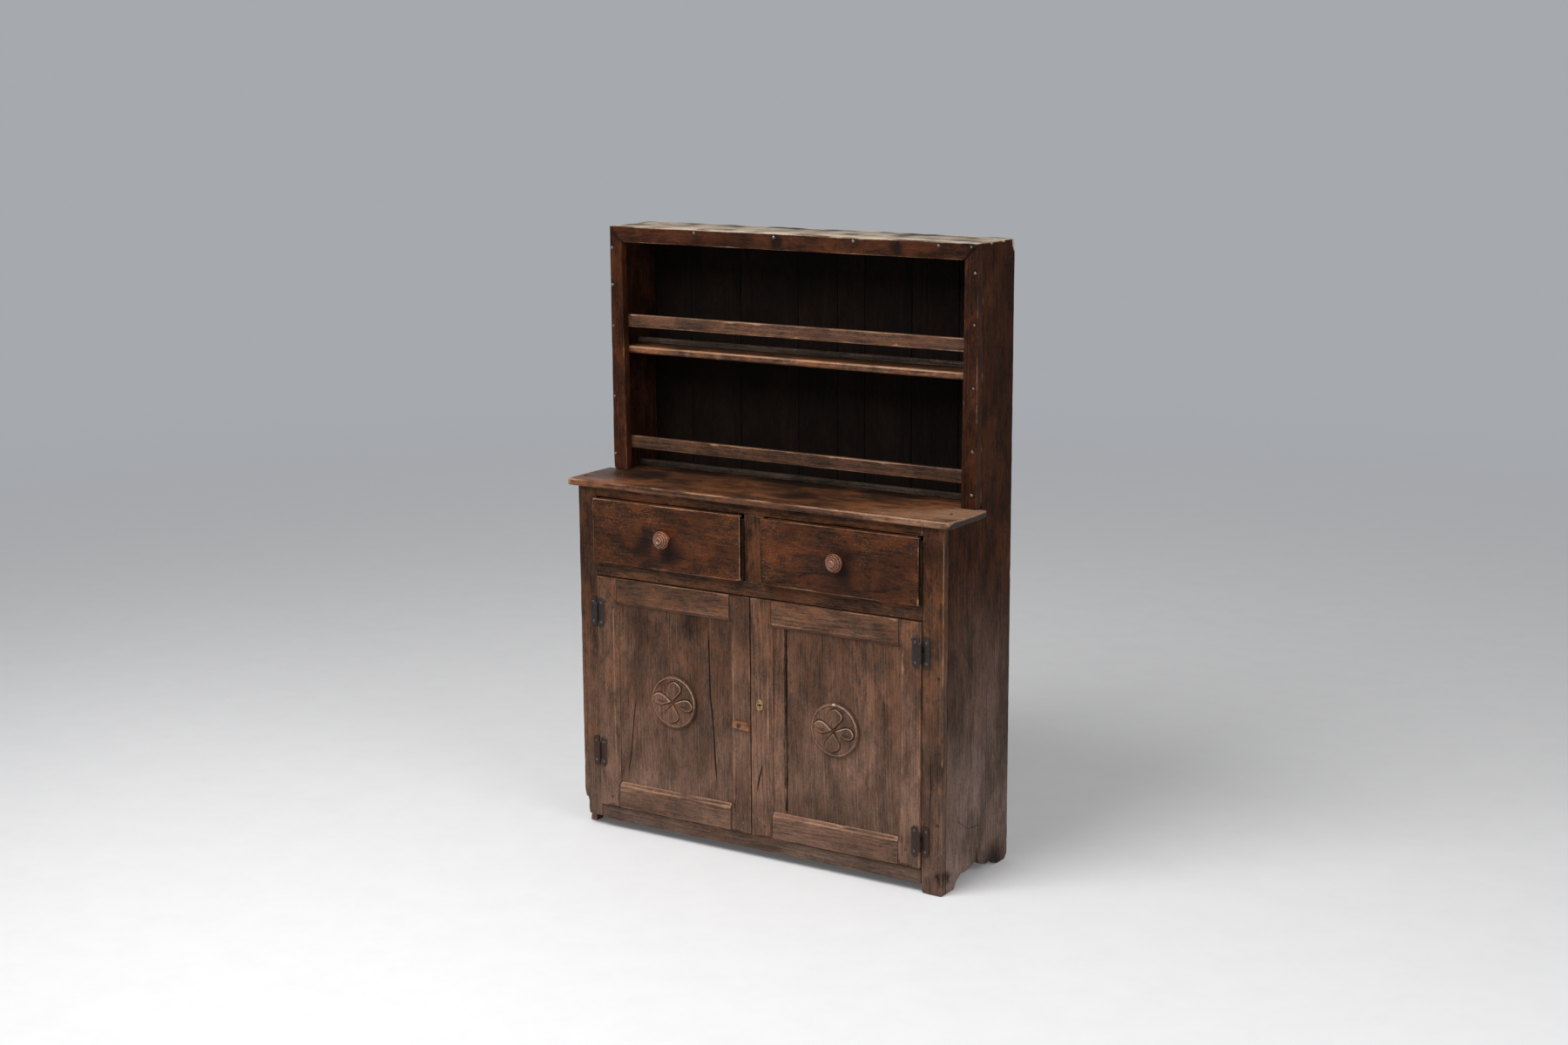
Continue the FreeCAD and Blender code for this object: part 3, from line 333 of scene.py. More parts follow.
def oak_group():
    inputs = {"Grain": "Vector", "Dark": "Color", "Light": "Color", "Warm": "Color",
              "Fleck": "Color", "Depth": "Float", "Warmth": "Float", "Flecks": "Float"}
    outputs = {"Color": "Color", "Tone": "Float", "Shade": "Float", "Height": "Float"}
    return group_named("aged_oak", inputs, outputs, fill_oak)


def fill_ragged(wires, start, end):
    """A painted amount, broken up so that its border is ragged."""
    fine = wires.cloud(start["Grain"], 120.0, 330.0, detail=3.0, rough=0.65)
    broad = wires.cloud(start["Grain"], 26.0, 60.0, detail=2.0)
    speck = wires.plus(fine, 0.55, wires.times(broad, 0.45))
    level = wires.plus(wires.count("SUBTRACT", speck, 0.5), start["Ragged"], start["Amount"])
    wires.feed(end["Mask"], wires.span(level, start["Low"], start["High"]))


def ragged_group():
    inputs = {"Grain": "Vector", "Amount": "Float", "Ragged": "Float", "Low": "Float",
              "High": "Float"}
    return group_named("ragged_mask", inputs, {"Mask": "Float"}, fill_ragged)


# How much each oak differs: depth of the grain, warmth, rays, roughness, shine
OAK_LOOKS = {
    "side": (1.00, 0.45, 0.06, 0.54, 0.04),
    "case": (1.00, 0.55, 0.08, 0.48, 0.10),
    "front": (0.95, 0.42, 0.10, 0.46, 0.12),
    "drawer": (1.05, 0.60, 0.70, 0.42, 0.12),
    "counter": (1.00, 0.60, 0.12, 0.34, 0.26),
    "rack": (1.00, 0.50, 0.08, 0.46, 0.07),
    "rail": (1.00, 0.35, 0.22, 0.42, 0.22),
    "dusty": (1.00, 0.30, 0.20, 0.80, 0.12),
    "inner": (1.10, 0.40, 0.05, 0.72, 0.08),
    "box": (0.95, 0.45, 0.10, 0.72, 0.15),
    "knob": (0.80, 0.50, 0.00, 0.16, 0.90),
    "button": (0.90, 0.60, 0.05, 0.34, 0.35),
}


def wired_material(name):
    """A new material, the wiring of its nodes and its shader."""
    material = bpy.data.materials.new(name)
    material.use_nodes = True
    return material, Wiring(material.node_tree), material.node_tree.nodes["Principled BSDF"]


def oak_material(look):
    """Waxed old oak with worn edges, stains and bare places, which also carry painted highlights,
    painted shade and painted sheen from the floor.
    """
    name = "old_oak_" + look
    if name in bpy.data.materials:
        return bpy.data.materials[name]
    finish = bpy.context.scene.cupboard_finish
    depth, warmth, flecks, roughness, shine = OAK_LOOKS[look]
    material, wires, shader = wired_material(name)
    grain = wires.attribute("grain", "Vector")
    oak = wires.put("ShaderNodeGroup", {
        "Grain": grain, "Dark": getattr(finish, look + "_dark"),
        "Light": getattr(finish, look + "_light"), "Warm": getattr(finish, look + "_warm"),
        "Fleck": finish.fleck, "Depth": depth, "Warmth": warmth, "Flecks": flecks},
        node_tree=oak_group()).outputs

    def ragged(amount, ragged_share, low, high):
        sockets = {"Grain": grain, "Amount": amount, "Ragged": ragged_share, "Low": low,
                   "High": high}
        return wires.put("ShaderNodeGroup", sockets, node_tree=ragged_group()).outputs[0]

    # The wear mask also carries painted highlights, the stain mask painted shade, and the pale mask
    # the rosettes' painted highlights.
    rubbed = ragged(wires.attribute("wear"), 1.1, 0.42, 1.0)
    dirt_and_shade = ragged(wires.attribute("stain"), 0.7, 0.14, 1.0)
    bare = ragged(wires.attribute("pale"), 0.9, 0.22, 0.9)
    bare = wires.times(bare, wires.plus(dirt_and_shade, -0.9, 1.0))
    weathered_and_sheen = oak["Color"]
    # Greying of the wood, and towards the floor painted sheen from the floor.
    if hasattr(finish, look + "_bloom"):
        bloom = getattr(finish, look + "_bloom")
        greyed_and_sheen = wires.blend(oak["Tone"], darker(bloom, 0.38), bloom)
        greyed_and_sheen = wires.blend(1.0, greyed_and_sheen, oak["Shade"], "MULTIPLY")
        weathered_and_sheen = wires.blend(wires.attribute("bloom"), weathered_and_sheen, greyed_and_sheen)
    worn_and_highlight_colour = wires.blend(oak["Tone"], darker(finish.worn, 0.62), finish.worn)
    bare_and_highlight_colour = wires.blend(oak["Tone"], darker(finish.bare, 0.55), finish.bare)
    base = wires.blend(wires.times(dirt_and_shade, 0.86), weathered_and_sheen, finish.grime_and_shade)
    base = wires.blend(wires.times(rubbed, finish.rub_and_highlight_share), base, worn_and_highlight_colour)
    base = wires.blend(bare, base, bare_and_highlight_colour)
    wires.feed(shader.inputs["Base Color"], base)
    rough = wires.span(oak["Height"], 0.25, 0.75, roughness + 0.10, roughness - 0.04)
    for mask, change in ((rubbed, -0.18), (bare, 0.25), (dirt_and_shade, 0.08)):
        rough = wires.plus(mask, change, rough)
    wires.feed(shader.inputs["Roughness"], rough)
    shader.inputs["Specular IOR Level"].default_value = shine
    bump = wires.put("ShaderNodeBump", {"Strength": 0.7, "Distance": 0.0010,
                                        "Height": oak["Height"]})
    wires.feed(shader.inputs["Normal"], bump.outputs[0])
    return material


# Each metal's base, worn and patch colours, metallic, roughness, and patches near the floor
METALS = {
    "forged_iron": ("iron", "iron_worn", "rust", 0.55, 0.42, 0.6),
    "rubbed_iron": ("iron_worn", "iron_worn", "iron", 0.8, 0.3, 0.0),
    "dull_brass": ("brass", "brass", "brass_dark", 0.8, 0.34, 0.0),
}


def metal_material(name):
    """Old metal with rust or tarnish in patches, more of it near the floor."""
    if name in bpy.data.materials:
        return bpy.data.materials[name]
    *tints, metallic, roughness, low_patch = METALS[name]
    base, worn, patch = (getattr(bpy.context.scene.cupboard_finish, tint) for tint in tints)
    material, wires, shader = wired_material(name)
    place = wires.put("ShaderNodeTexCoord").outputs["Object"]
    blots = wires.cloud(place, 160.0, 160.0, detail=4.0, rough=0.7)
    fine = wires.cloud(place, 900.0, 900.0, detail=2.0, rough=0.6)
    dents = wires.cloud(place, 210.0, 210.0, detail=1.0)
    shown = wires.blend(wires.span(blots, 0.45, 0.68), base, patch)
    shown = wires.blend(wires.times(wires.span(fine, 0.55, 0.75), 0.35), shown, worn)
    height_up = wires.put("ShaderNodeSeparateXYZ", {0: place}).outputs["Z"]
    shown = wires.blend(wires.span(height_up, 0.22, 0.45, low_patch, 0.0), shown, patch)
    wires.feed(shader.inputs["Base Color"], shown)
    wires.feed(shader.inputs["Roughness"], wires.span(blots, 0.3, 0.7, roughness, roughness + 0.2))
    shader.inputs["Metallic"].default_value = metallic
    height = wires.plus(fine, 0.25, dents)
    bump = wires.put("ShaderNodeBump", {"Strength": 0.5, "Distance": 0.0006, "Height": height})
    wires.feed(shader.inputs["Normal"], bump.outputs[0])
    return material


# Mesh building

WELD = 0.00002
FLAT_ANGLE = math.radians(2)
SHARP_ANGLE = math.radians(25)
BEVEL_ANGLE = math.radians(40)
LEAST_FACE = 0.0004
# Cuts beside each large face, in millimetres, and the room that the grid leaves them
INSETS = (0.35, 1.0, 2.0, 3.4, 5.5, 9.0)
INSET_ROOM = INSETS[-1] * MM * 1.3


def seed_of(name):
    return zlib.crc32(name.encode())


def cut_plane(bm, point, normal, faces=None):
    """Cut the mesh, or only some of its faces, along a plane."""
    if faces is None:
        geometry = bm.verts[:] + bm.edges[:] + bm.faces[:]
    else:
        edges = {edge for face in faces for edge in face.edges}
        verts = {vert for face in faces for vert in face.verts}
        geometry = list(verts) + list(edges) + list(faces)
    bmesh.ops.bisect_plane(bm, geom=geometry, dist=0.000001, plane_co=point, plane_no=normal)


def merged_copy(node):
    """A copy of a packed node's mesh, merged and with its flat faces whole."""
    bm = bmesh.new()
    bm.from_mesh(frame["nodes"][node].data)
    bmesh.ops.remove_doubles(bm, verts=bm.verts, dist=WELD)
    bmesh.ops.dissolve_limit(bm, angle_limit=FLAT_ANGLE, use_dissolve_boundaries=False,
                             verts=bm.verts, edges=bm.edges)
    bmesh.ops.recalc_face_normals(bm, faces=bm.faces)
    return bm


def outer_edges(bm):
    """Ends and face normals of each sharp outer edge."""
    found = []
    for edge in bm.edges:
        if len(edge.link_faces) == 2 and edge.calc_face_angle_signed() > SHARP_ANGLE:
            ends = [np.array(vert.co) for vert in edge.verts]
            normals = [np.array(face.normal) for face in edge.link_faces]
            found.append((*ends, *normals))
    return found


def face_planes(bm):
    """The planes of the large faces, each once."""
    planes = {}
    for face in bm.faces:
        if face.calc_area() > LEAST_FACE:
            normal = face.normal
            key = (*(round(part, 2) for part in normal), round(normal.dot(face.verts[0].co), 4))
            planes[key] = (face.verts[0].co.copy(), normal.copy())
    return list(planes.values())


def cut_grid(bm, planes, steps):
    """Cut lines beside every large face, and a grid over the whole board."""
    corners = coordinates(bm)
    low, high = corners.min(axis=0), corners.max(axis=0)
    for axis, step in enumerate(steps):
        normal = Vector([1 if index == axis else 0 for index in range(3)])
        levels = [point[axis] for point, facing in planes if abs(facing[axis]) > 0.99]
        pieces = max(1, round((high[axis] - low[axis]) / step))
        for index in range(1, pieces):
            place = low[axis] + (high[axis] - low[axis]) * index / pieces
            if all(abs(place - level) > INSET_ROOM for level in levels):
                cut_plane(bm, normal * place, normal)
    for point, facing in planes:
        thickness = np.ptp(corners @ np.array(facing))
        for inset in INSETS:
            if inset * MM < thickness * 0.45:
                cut_plane(bm, point - facing * (inset * MM), facing)


def coordinates(bm):
    return np.array([vert.co for vert in bm.verts])


def wander(points, waves, seed):
    """Smooth noise, about -1 to 1, with so many waves in a metre."""
    shift = Vector((seed % 97, seed % 89, seed % 83))
    return np.array([noise.noise(Vector(point) * waves + shift) for point in points])


# Faces that carry marks: the axis that each looks along, and its level in millimetres
RIGHT_SIDE = (0, 510)
FRAME_FRONT = (1, -135)
DOOR_FRONT = (1, -141)
DRAWER_FRONT = (1, -153)
RACK_FRONT = (1, 12)
GUARD_FRONT = (1, 34)
COUNTER_TOP = (2, 880)
CUPBOARD_TOP = (2, 1482)
# Where a face on each axis looks
FORWARD = (0, -1, 0)
OUTWARD = ((1, 0, 0), FORWARD, (0, 0, 1))


def on_face(face, mark):
    """A mark or a place with its face's level put in, which it is written without."""
    axis, level = face
    return (*mark[:axis], level, *mark[axis:])


def near_spots(points, spots, face=None):
    """Soft round spots, (x, y, z, radius, amount) in millimetres, or four numbers on a face."""
    total = np.zeros(len(points))
    for spot in spots:
        x, y, z, radius, amount = spot if len(spot) == 5 else on_face(face, spot)
        distance = np.linalg.norm(points - np.array((x, y, z)) * MM, axis=1) / (radius * MM)
        total += amount * np.clip(1 - distance ** 2, 0, 1)
    return total


def edge_chips(name, edges, per_metre):
    """Places of random chips along the outer edges of a board."""
    random = np.random.default_rng(seed_of(name))
    spots = []
    for start, end, _, _ in edges:
        run = np.linalg.norm(end - start)
        for _ in range(random.poisson(run * per_metre)):
            place = (start + (end - start) * random.random()) / MM
            spots.append((*place, random.uniform(4, 11), random.uniform(0.2, 0.9)))
    return spots


def round_edges(points, edges, reach):
    """Move points near sharp outer edges onto an arc; return their shifts and their wear, whose
    band is wider where an edge faces up and forward, partly as painted highlight.
    """
    shift = np.zeros_like(points)
    wear = np.zeros(len(points))
    for start, end, first, second in edges:
        # Edges that face up and forward get a wider worn band, partly as painted highlight.
        upward = 1.25 if (first + second)[2] > 0.6 and (first + second)[1] < -0.6 else 1.0
        rub = np.maximum(reach * 2.6, 3 * MM) * upward
        run = np.linalg.norm(end - start)
        along = (end - start) / run
        offset = points - start
        place = offset @ along
        beside = (place > -WELD) & (place < run + WELD)
        bend = math.acos(max(-1, min(1, float(first @ second))))
        done = np.zeros(len(points), bool)
        for facing, other in ((first, second), (second, first)):
            away = -(other - facing * (other @ facing))
            away /= np.linalg.norm(away)
            depth = offset @ facing
            distance = offset @ away
            at_face = beside & (np.abs(depth) < WELD) & (distance > -WELD)
            wear = np.where(at_face, np.maximum(wear, 1 - distance / rub), wear)
            active = at_face & (distance < reach) & ~done
            done |= at_face & (distance < WELD)
            radius = reach / math.tan(bend / 2)
            turn = (bend / 2) * (1 - np.clip(distance / reach, 0, 1))
            inward = reach - radius * np.sin(turn) - distance
            down = radius * np.cos(turn) - radius
            move = inward[:, None] * away + down[:, None] * facing
            shift[active] += move[active]
    return shift, np.clip(wear, 0, 1)


def islands(bm):
    """The number of the loose part that each point belongs to."""
    bm.verts.index_update()
    label = [-1] * len(bm.verts)
    count = 0
    for seed_vert in bm.verts:
        if label[seed_vert.index] >= 0:
            continue
        waiting = [seed_vert]
        label[seed_vert.index] = count
        while waiting:
            for edge in waiting.pop().link_edges:
                for vert in edge.verts:
                    if label[vert.index] < 0:
                        label[vert.index] = count
                        waiting.append(vert)
        count += 1
    return np.array(label)


AXIS_ORDER = {"X": (0, 1, 2), "Y": (1, 2, 0), "Z": (2, 0, 1)}


def grain_field(points, labels, axis, seed):
    """Coordinates along the grain and out from the pith, different for each board."""
    ordered = points[:, AXIS_ORDER[axis]]
    field = np.zeros_like(points)
    for label in range(labels.max() + 1):
        random = np.random.default_rng(seed + label)
        chosen = labels == label
        middle = ordered[chosen].mean(axis=0)
        tilt = random.uniform(-0.03, 0.03, 2)
        local = ordered[chosen] - middle
        local[:, 1] += local[:, 0] * tilt[0]
        local[:, 2] += local[:, 0] * tilt[1]
        side = random.choice((-1, 1), 2)
        pith = np.array((random.uniform(1, 9), side[0] * random.uniform(0.03, 0.09),
                         side[1] * random.uniform(0.02, 0.08)))
        field[chosen] = local + pith
    return field


def write_attribute(mesh, name, values):
    kind, field = ("FLOAT_VECTOR", "vector") if values.ndim == 2 else ("FLOAT", "value")
    layer = mesh.attributes.new(name, kind, "POINT")
    layer.data.foreach_set(field, values.astype(np.float32).ravel())


def scene_object(name, data):
    """A new object with this data, in the scene."""
    made = bpy.data.objects.new(name, data)
    bpy.context.scene.collection.objects.link(made)
    return made


def new_piece(name, bm, materials, body, replaced=(), smooth=42):
    """Turn a bmesh into a piece of the cupboard that rides on its body."""
    mesh = bpy.data.meshes.new(name)
    bm.to_mesh(mesh)
    bm.free()
    for material in materials:
        mesh.materials.append(material)
    mesh.shade_smooth()
    mesh.set_sharp_from_angle(angle=math.radians(smooth))
    piece = scene_object(name, mesh)
    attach(piece, body)
    if replaced:
        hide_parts(*replaced)
    return piece


def paint(piece, points, labels, axis, wear, stain, pale):
    mesh = piece.data
    write_attribute(mesh, "grain", grain_field(points, labels, axis, seed_of(piece.name)))
    write_attribute(mesh, "wear", np.clip(wear, 0, 1))
    # Besides wear, stains, bare wood and greying, these attributes carry painted highlights,
    # painted shade and painted sheen from the floor.
    write_attribute(mesh, "stain", np.clip(stain, 0, 1))
    write_attribute(mesh, "pale", np.clip(pale, 0, 1))
    write_attribute(mesh, "bloom", np.clip(common_greying_and_sheen(points, seed_of(piece.name)), 0, 1))


def stand_in(node, ending, bm, materials, smooth=42):
    """A piece that replaces a packed node on the same body."""
    return new_piece(node + ending, bm, materials, frame["nodes"][node]["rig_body"],
                     [node], smooth)


# Rules for dirt, painted shade, painted sheen from the floor and bare wood that hold for every
# board

LOOSE_WORDS = ("hinge_leaves", "pins", "cleats", "knob", "button", "screw", "lock", "escutcheon",
               "rosette")
TOUCHING = 0.8 * MM
COUNTER_LEVEL = 0.881
RACK_SIDE_FRONT = 0.0335
RACK_INSIDE = 0.049
RACK_TOP = 1.4785
CASE_HALF_WIDTH = 0.4935
CASE_FRONT = -0.112
CASE_BACK = 0.1735
CASE_FLOOR = 0.055
CASE_CEILING = 0.86
BACK_OUTSIDE = 0.1865
FLOOR_DARKENING_HEIGHT = 0.11


def near_joint(points, node):
    """Points that touch another board, where nothing rubs and dirt settles."""
    touching = np.zeros(len(points), bool)
    for other in frame["nodes"]:
        if other == node or any(word in other for word in LOOSE_WORDS):
            continue
        low, high = (np.array(corner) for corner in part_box(other))
        inside = np.all((points > low - TOUCHING) & (points < high + TOUCHING), axis=1)
        if other.startswith("side_board"):
            inside &= (points[:, 2] < COUNTER_LEVEL) | (points[:, 1] > RACK_SIDE_FRONT)
        touching |= inside
    return touching


def common_greying_and_sheen(points, seed):
    """The wood greys on the outside of the back and towards the floor; towards the floor the paler
    grey is also painted sheen from the bright floor.
    """
    sizes = bpy.context.scene.cupboard_sizes
    low = np.clip(1 - points[:, 2] / sizes.greying_and_sheen_height, 0, 1) ** 1.15
    low[points[:, 1] > BACK_OUTSIDE] = 0.9
    return low * np.clip(0.85 + 0.45 * wander(points, 5, seed + 7), 0, 1.1)


def common_darkening(points, look):
    """Darker near the floor, painted shade inside the rack and the cupboard, and dark blotches on
    the drawer fronts.
    """
    x, y, z = points.T
    dirt = 0.4 * np.clip(1 - z / FLOOR_DARKENING_HEIGHT, 0, 1)
    if look in ("dusty", "box"):
        return dirt
    inside = (np.abs(x) < CASE_HALF_WIDTH) & (y > CASE_FRONT) & (y < CASE_BACK)
    inside &= (z > CASE_FLOOR) & ((z < CASE_CEILING) | (y > RACK_INSIDE))
    # Painted shade: the inside of the cupboard and of the rack is darkened.
    dirt[inside] += 0.5
    if look == "drawer":
        dirt += 0.8 * np.clip(wander(points, 24, 41) - 0.05, 0, 1)
    return dirt


def common_pale(points, facing, seed):
    """Bare wood on the very top."""
    bare = np.zeros(len(points))
    top = (points[:, 2] > RACK_TOP) & (facing[:, 2] > 0.7)
    bare[top] = 0.72 + 0.8 * wander(points[top], 22, seed + 5)
    return bare


# The longest step of a board's grid across the grain, for boards in sight, in millimetres
FINE_STEP = 14
HIDDEN_STEP = 30
LEAST_ROUNDING = 0.3 * MM
MOST_ROUNDING = 8.5 * MM


def worn_board(node, look, axis, face=None, step=16, chips=3.0, spots=(), stains=(), pales=(),
               rubs=(), cracks=(), wear=1.0, rub=1.0):
    """Replace a packed board by a copy with rounded, chipped edges, hollows and dirt, with painted
    highlights on faces that look up and forward and painted shade inside the case and rack.
    """
    sizes = bpy.context.scene.cupboard_sizes
    bm = merged_copy(node)
    edges = outer_edges(bm)
    planes = face_planes(bm)
    fine = step if step > HIDDEN_STEP else min(step, FINE_STEP)
    steps = [fine * MM] * 3
    steps[AXIS_ORDER[axis][0]] = step * MM
    cut_grid(bm, planes, steps)
    for crack in cracks:
        crack.cut(bm)
    bm.normal_update()
    seed = seed_of(node)
    points = coordinates(bm)
    facing = np.array([vert.normal for vert in bm.verts])
    labels = islands(bm)
    reach = 1 + 0.55 * wander(points, 22, seed) + 0.4 * wander(points, 70, seed + 1)
    reach = sizes.edge_wear * wear * np.clip(reach, 0.3, 3)
    chipped = near_spots(points, edge_chips(node, edges, chips))
    dents = chipped + near_spots(points, spots, face)
    reach = np.clip(reach + sizes.chip_reach * dents, LEAST_ROUNDING, MOST_ROUNDING)
    shift, rubbed = round_edges(points, edges, reach)
    rubbed *= np.clip(0.75 + 0.5 * wander(points, 9, seed + 2), 0.15, 1.2)
    rubbed = np.clip(rubbed + 0.5 * chipped * (rubbed > 0.05), 0, 1) * rub
    # Painted highlight: faces that look up and forward, such as the bottom rails' bevels and the
    # rounded top front edges, take extra wear colour where light from above catches them.
    bevelled = (facing[:, 2] > 0.3) & (facing[:, 1] < -0.3)
    rubbed += 0.45 * rub * bevelled * np.clip(0.8 + wander(points, 12, seed + 8), 0.2, 1.5)
    jointed = near_joint(points, node) & (rubbed > 0)
    rubbed[jointed] = 0
    rubbed += near_spots(points, rubs, face)
    hollow = 0.5 + 0.5 * wander(points, 13, seed + 3) + 0.25 * wander(points, 45, seed + 4)
    moved = points + shift
    moved -= facing * (np.clip(hollow, 0, 1.2) * sizes.surface_wander)[:, None]
    stain = common_darkening(points, look) + near_spots(points, stains, face) + 0.45 * jointed
    for crack in cracks:
        moved, stain = crack.open(points, moved, stain)
    for vert, place in zip(bm.verts, moved):
        vert.co = place
    pale = common_pale(points, facing, seed) + near_spots(points, pales, face)
    piece = stand_in(node, "_worn", bm, [oak_material(look)])
    paint(piece, points, labels, axis, rubbed, stain, pale)


class Crack:
    """A drying crack in a face, along a path of places in millimetres."""

    def __init__(self, face, path, width=1.0, depth=1.0):
        self.path = [Vector(on_face(face, place)) * MM for place in path]
        self.facing = Vector(OUTWARD[face[0]])
        sizes = bpy.context.scene.cupboard_sizes
        self.half_width = sizes.crack_width * width / 2
        self.depth = sizes.crack_depth * depth

    def stretches(self):
        """Start, length, direction and sideways direction of each straight stretch."""
        for start, end in zip(self.path, self.path[1:]):
            along = (end - start).normalized()
            yield start, (end - start).length, along, self.facing.cross(along).normalized()

    def cut(self, bm):
        for start, run, along, across in self.stretches():
            for offset in (-2.5, -1, 0, 1, 2.5):
                bm.normal_update()
                faces = []
                for face in bm.faces:
                    middle = face.calc_center_median() - start
                    if face.normal.dot(self.facing) > 0.9 and abs(middle.dot(across)) < 0.03:
                        if -0.02 < middle.dot(along) < run + 0.02:
                            faces.append(face)
                if faces:
                    shift = across * (offset * self.half_width)
                    cut_plane(bm, start + shift, across, faces)

    def open(self, points, moved, stain):
        whole = sum(run for _, run, _, _ in self.stretches())
        passed = 0
        for start, run, along, across in self.stretches():
            offset = points - np.array(start)
            place = offset @ np.array(along)
            aside = np.abs(offset @ np.array(across))
            level = np.abs(offset @ np.array(self.facing)) < 2 * MM
            beside = level & (place > -0.5 * MM) & (place < run + 0.5 * MM)
            passed_share = np.clip((passed + place) / whole, 0.0, 1.0)
            taper = np.clip(np.sin(passed_share * math.pi) * 2.5, 0, 1)
            on_line = beside & (aside < self.half_width * 0.1)
            moved = moved - np.outer(on_line * taper * self.depth, np.array(self.facing))
            dark = np.clip(1.6 - aside / (self.half_width * 1.6), 0, 1) * beside * taper
            stain = np.maximum(stain, dark)
            passed += run
        return moved, stain


# Small parts

PEG_LENGTH = 2.4 * MM
SCREW_HEIGHT = 1.2 * MM
SCREW_SLOT_DEPTH = 0.8 * MM


def bevelled_copy(node, width, metals=("forged_iron", "rubbed_iron")):
    """A copy of a packed metal node whose sharp edges are rounded and rubbed."""
    bm = merged_copy(node)
    sharp = [edge for edge in bm.edges if len(edge.link_faces) == 2
             and edge.calc_face_angle_signed() > BEVEL_ANGLE]
    made = bmesh.ops.bevel(bm, geom=sharp, offset=width, segments=2, profile=0.5,
                           affect="EDGES", material=-1, clamp_overlap=True)
    for face in made["faces"]:
        face.material_index = 1
    stand_in(node, "_worn", bm, [metal_material(metal) for metal in metals])


def facing_matrix(place, facing):
    """A turn and a shift that stand +Z along a face's normal at a place in metres."""
    turn = Vector(facing).to_track_quat("Z", "Y").to_matrix().to_4x4()
    return Matrix.Translation(Vector(place)) @ turn


def mark_matrix(face, place):
    """The same for a place in millimetres on a face."""
    return facing_matrix(Vector(on_face(face, place)) * MM, OUTWARD[face[0]])


def nail_heads(name, body, face, places, width=1.0, metal="forged_iron"):
    """Forged nail heads: low, uneven domes, a little square."""
    sizes = bpy.context.scene.cupboard_sizes
    bm = bmesh.new()
    random = np.random.default_rng(seed_of(name))
    for place in places:
        made = bmesh.ops.create_uvsphere(bm, u_segments=12, v_segments=8, radius=1)
        radius = sizes.nail_width / 2 * width * random.uniform(0.8, 1.15)
        turn = random.uniform(0, math.pi)
        for vert in made["verts"]:
            heading = math.atan2(vert.co.y, vert.co.x)
            square = 1 + 0.12 * math.cos(4 * (heading - turn)) + random.uniform(-0.04, 0.04)
            vert.co.x *= radius * square
            vert.co.y *= radius * square
            vert.co.z *= sizes.nail_rise * (1 if vert.co.z > 0 else 0.6)
        bmesh.ops.transform(bm, matrix=mark_matrix(face, place), verts=made["verts"])
    new_piece(name, bm, [metal_material(metal)], body, smooth=60)


def nail_stains(face, places):
    """Dark rings in the wood round the nails."""
    return [(*on_face(face, place), 8, 0.85) for place in places]


def wooden_pegs(name, body, face, places, look):
    """Ends of the pegs that lock the joints, a little proud and uneven."""
    sizes = bpy.context.scene.cupboard_sizes
    bm = bmesh.new()
    random = np.random.default_rng(seed_of(name))
    for place in places:
        radius = sizes.peg_width / 2 * random.uniform(0.85, 1.1)
        made = bmesh.ops.create_cone(bm, cap_ends=True, segments=14, radius1=radius,
                                     radius2=radius * 0.9, depth=PEG_LENGTH)
        for vert in made["verts"]:
            vert.co.x *= random.uniform(0.93, 1.05)
            vert.co.z -= random.uniform(0.55, 0.75) * MM
        bmesh.ops.transform(bm, matrix=mark_matrix(face, place), verts=made["verts"])
    points = coordinates(bm)
    labels = islands(bm)
    piece = new_piece(name, bm, [oak_material(look)], body)
    flat = np.zeros(len(points))
    paint(piece, points, labels, "Y", flat + 0.15, flat + 0.35, flat)


def slotted_screws(name, body, face, places):
    """Flat screw heads with a filed slot."""
    bm = bmesh.new()
    random = np.random.default_rng(seed_of(name))
    radius = bpy.context.scene.cupboard_sizes.screw_width / 2
    for place in places:
        head = bmesh.new()
        bmesh.ops.create_cone(head, cap_ends=True, segments=20, radius1=radius,
                              radius2=radius * 0.86, depth=SCREW_HEIGHT)
        for offset in (-0.6, -0.5, 0.5, 0.6):
            cut_plane(head, Vector((0, offset * MM, 0)), Vector((0, 1, 0)))
        for vert in head.verts:
            if vert.co.z > 0 and abs(vert.co.y) < 0.55 * MM:
                vert.co.z -= SCREW_SLOT_DEPTH
        turn = Matrix.Rotation(random.uniform(0, math.pi), 4, "Z")
        bmesh.ops.transform(head, matrix=mark_matrix(face, place) @ turn, verts=head.verts)
        mesh = bpy.data.meshes.new("head")
        head.to_mesh(mesh)
        head.free()
        bm.from_mesh(mesh)
        bpy.data.meshes.remove(mesh)
    new_piece(name, bm, [metal_material("rubbed_iron")], body, smooth=30)


# Operators

SIDES = {"left": -1, "right": 1}
HINGE_HEIGHTS = {"left": (552, 197), "right": (572, 126)}


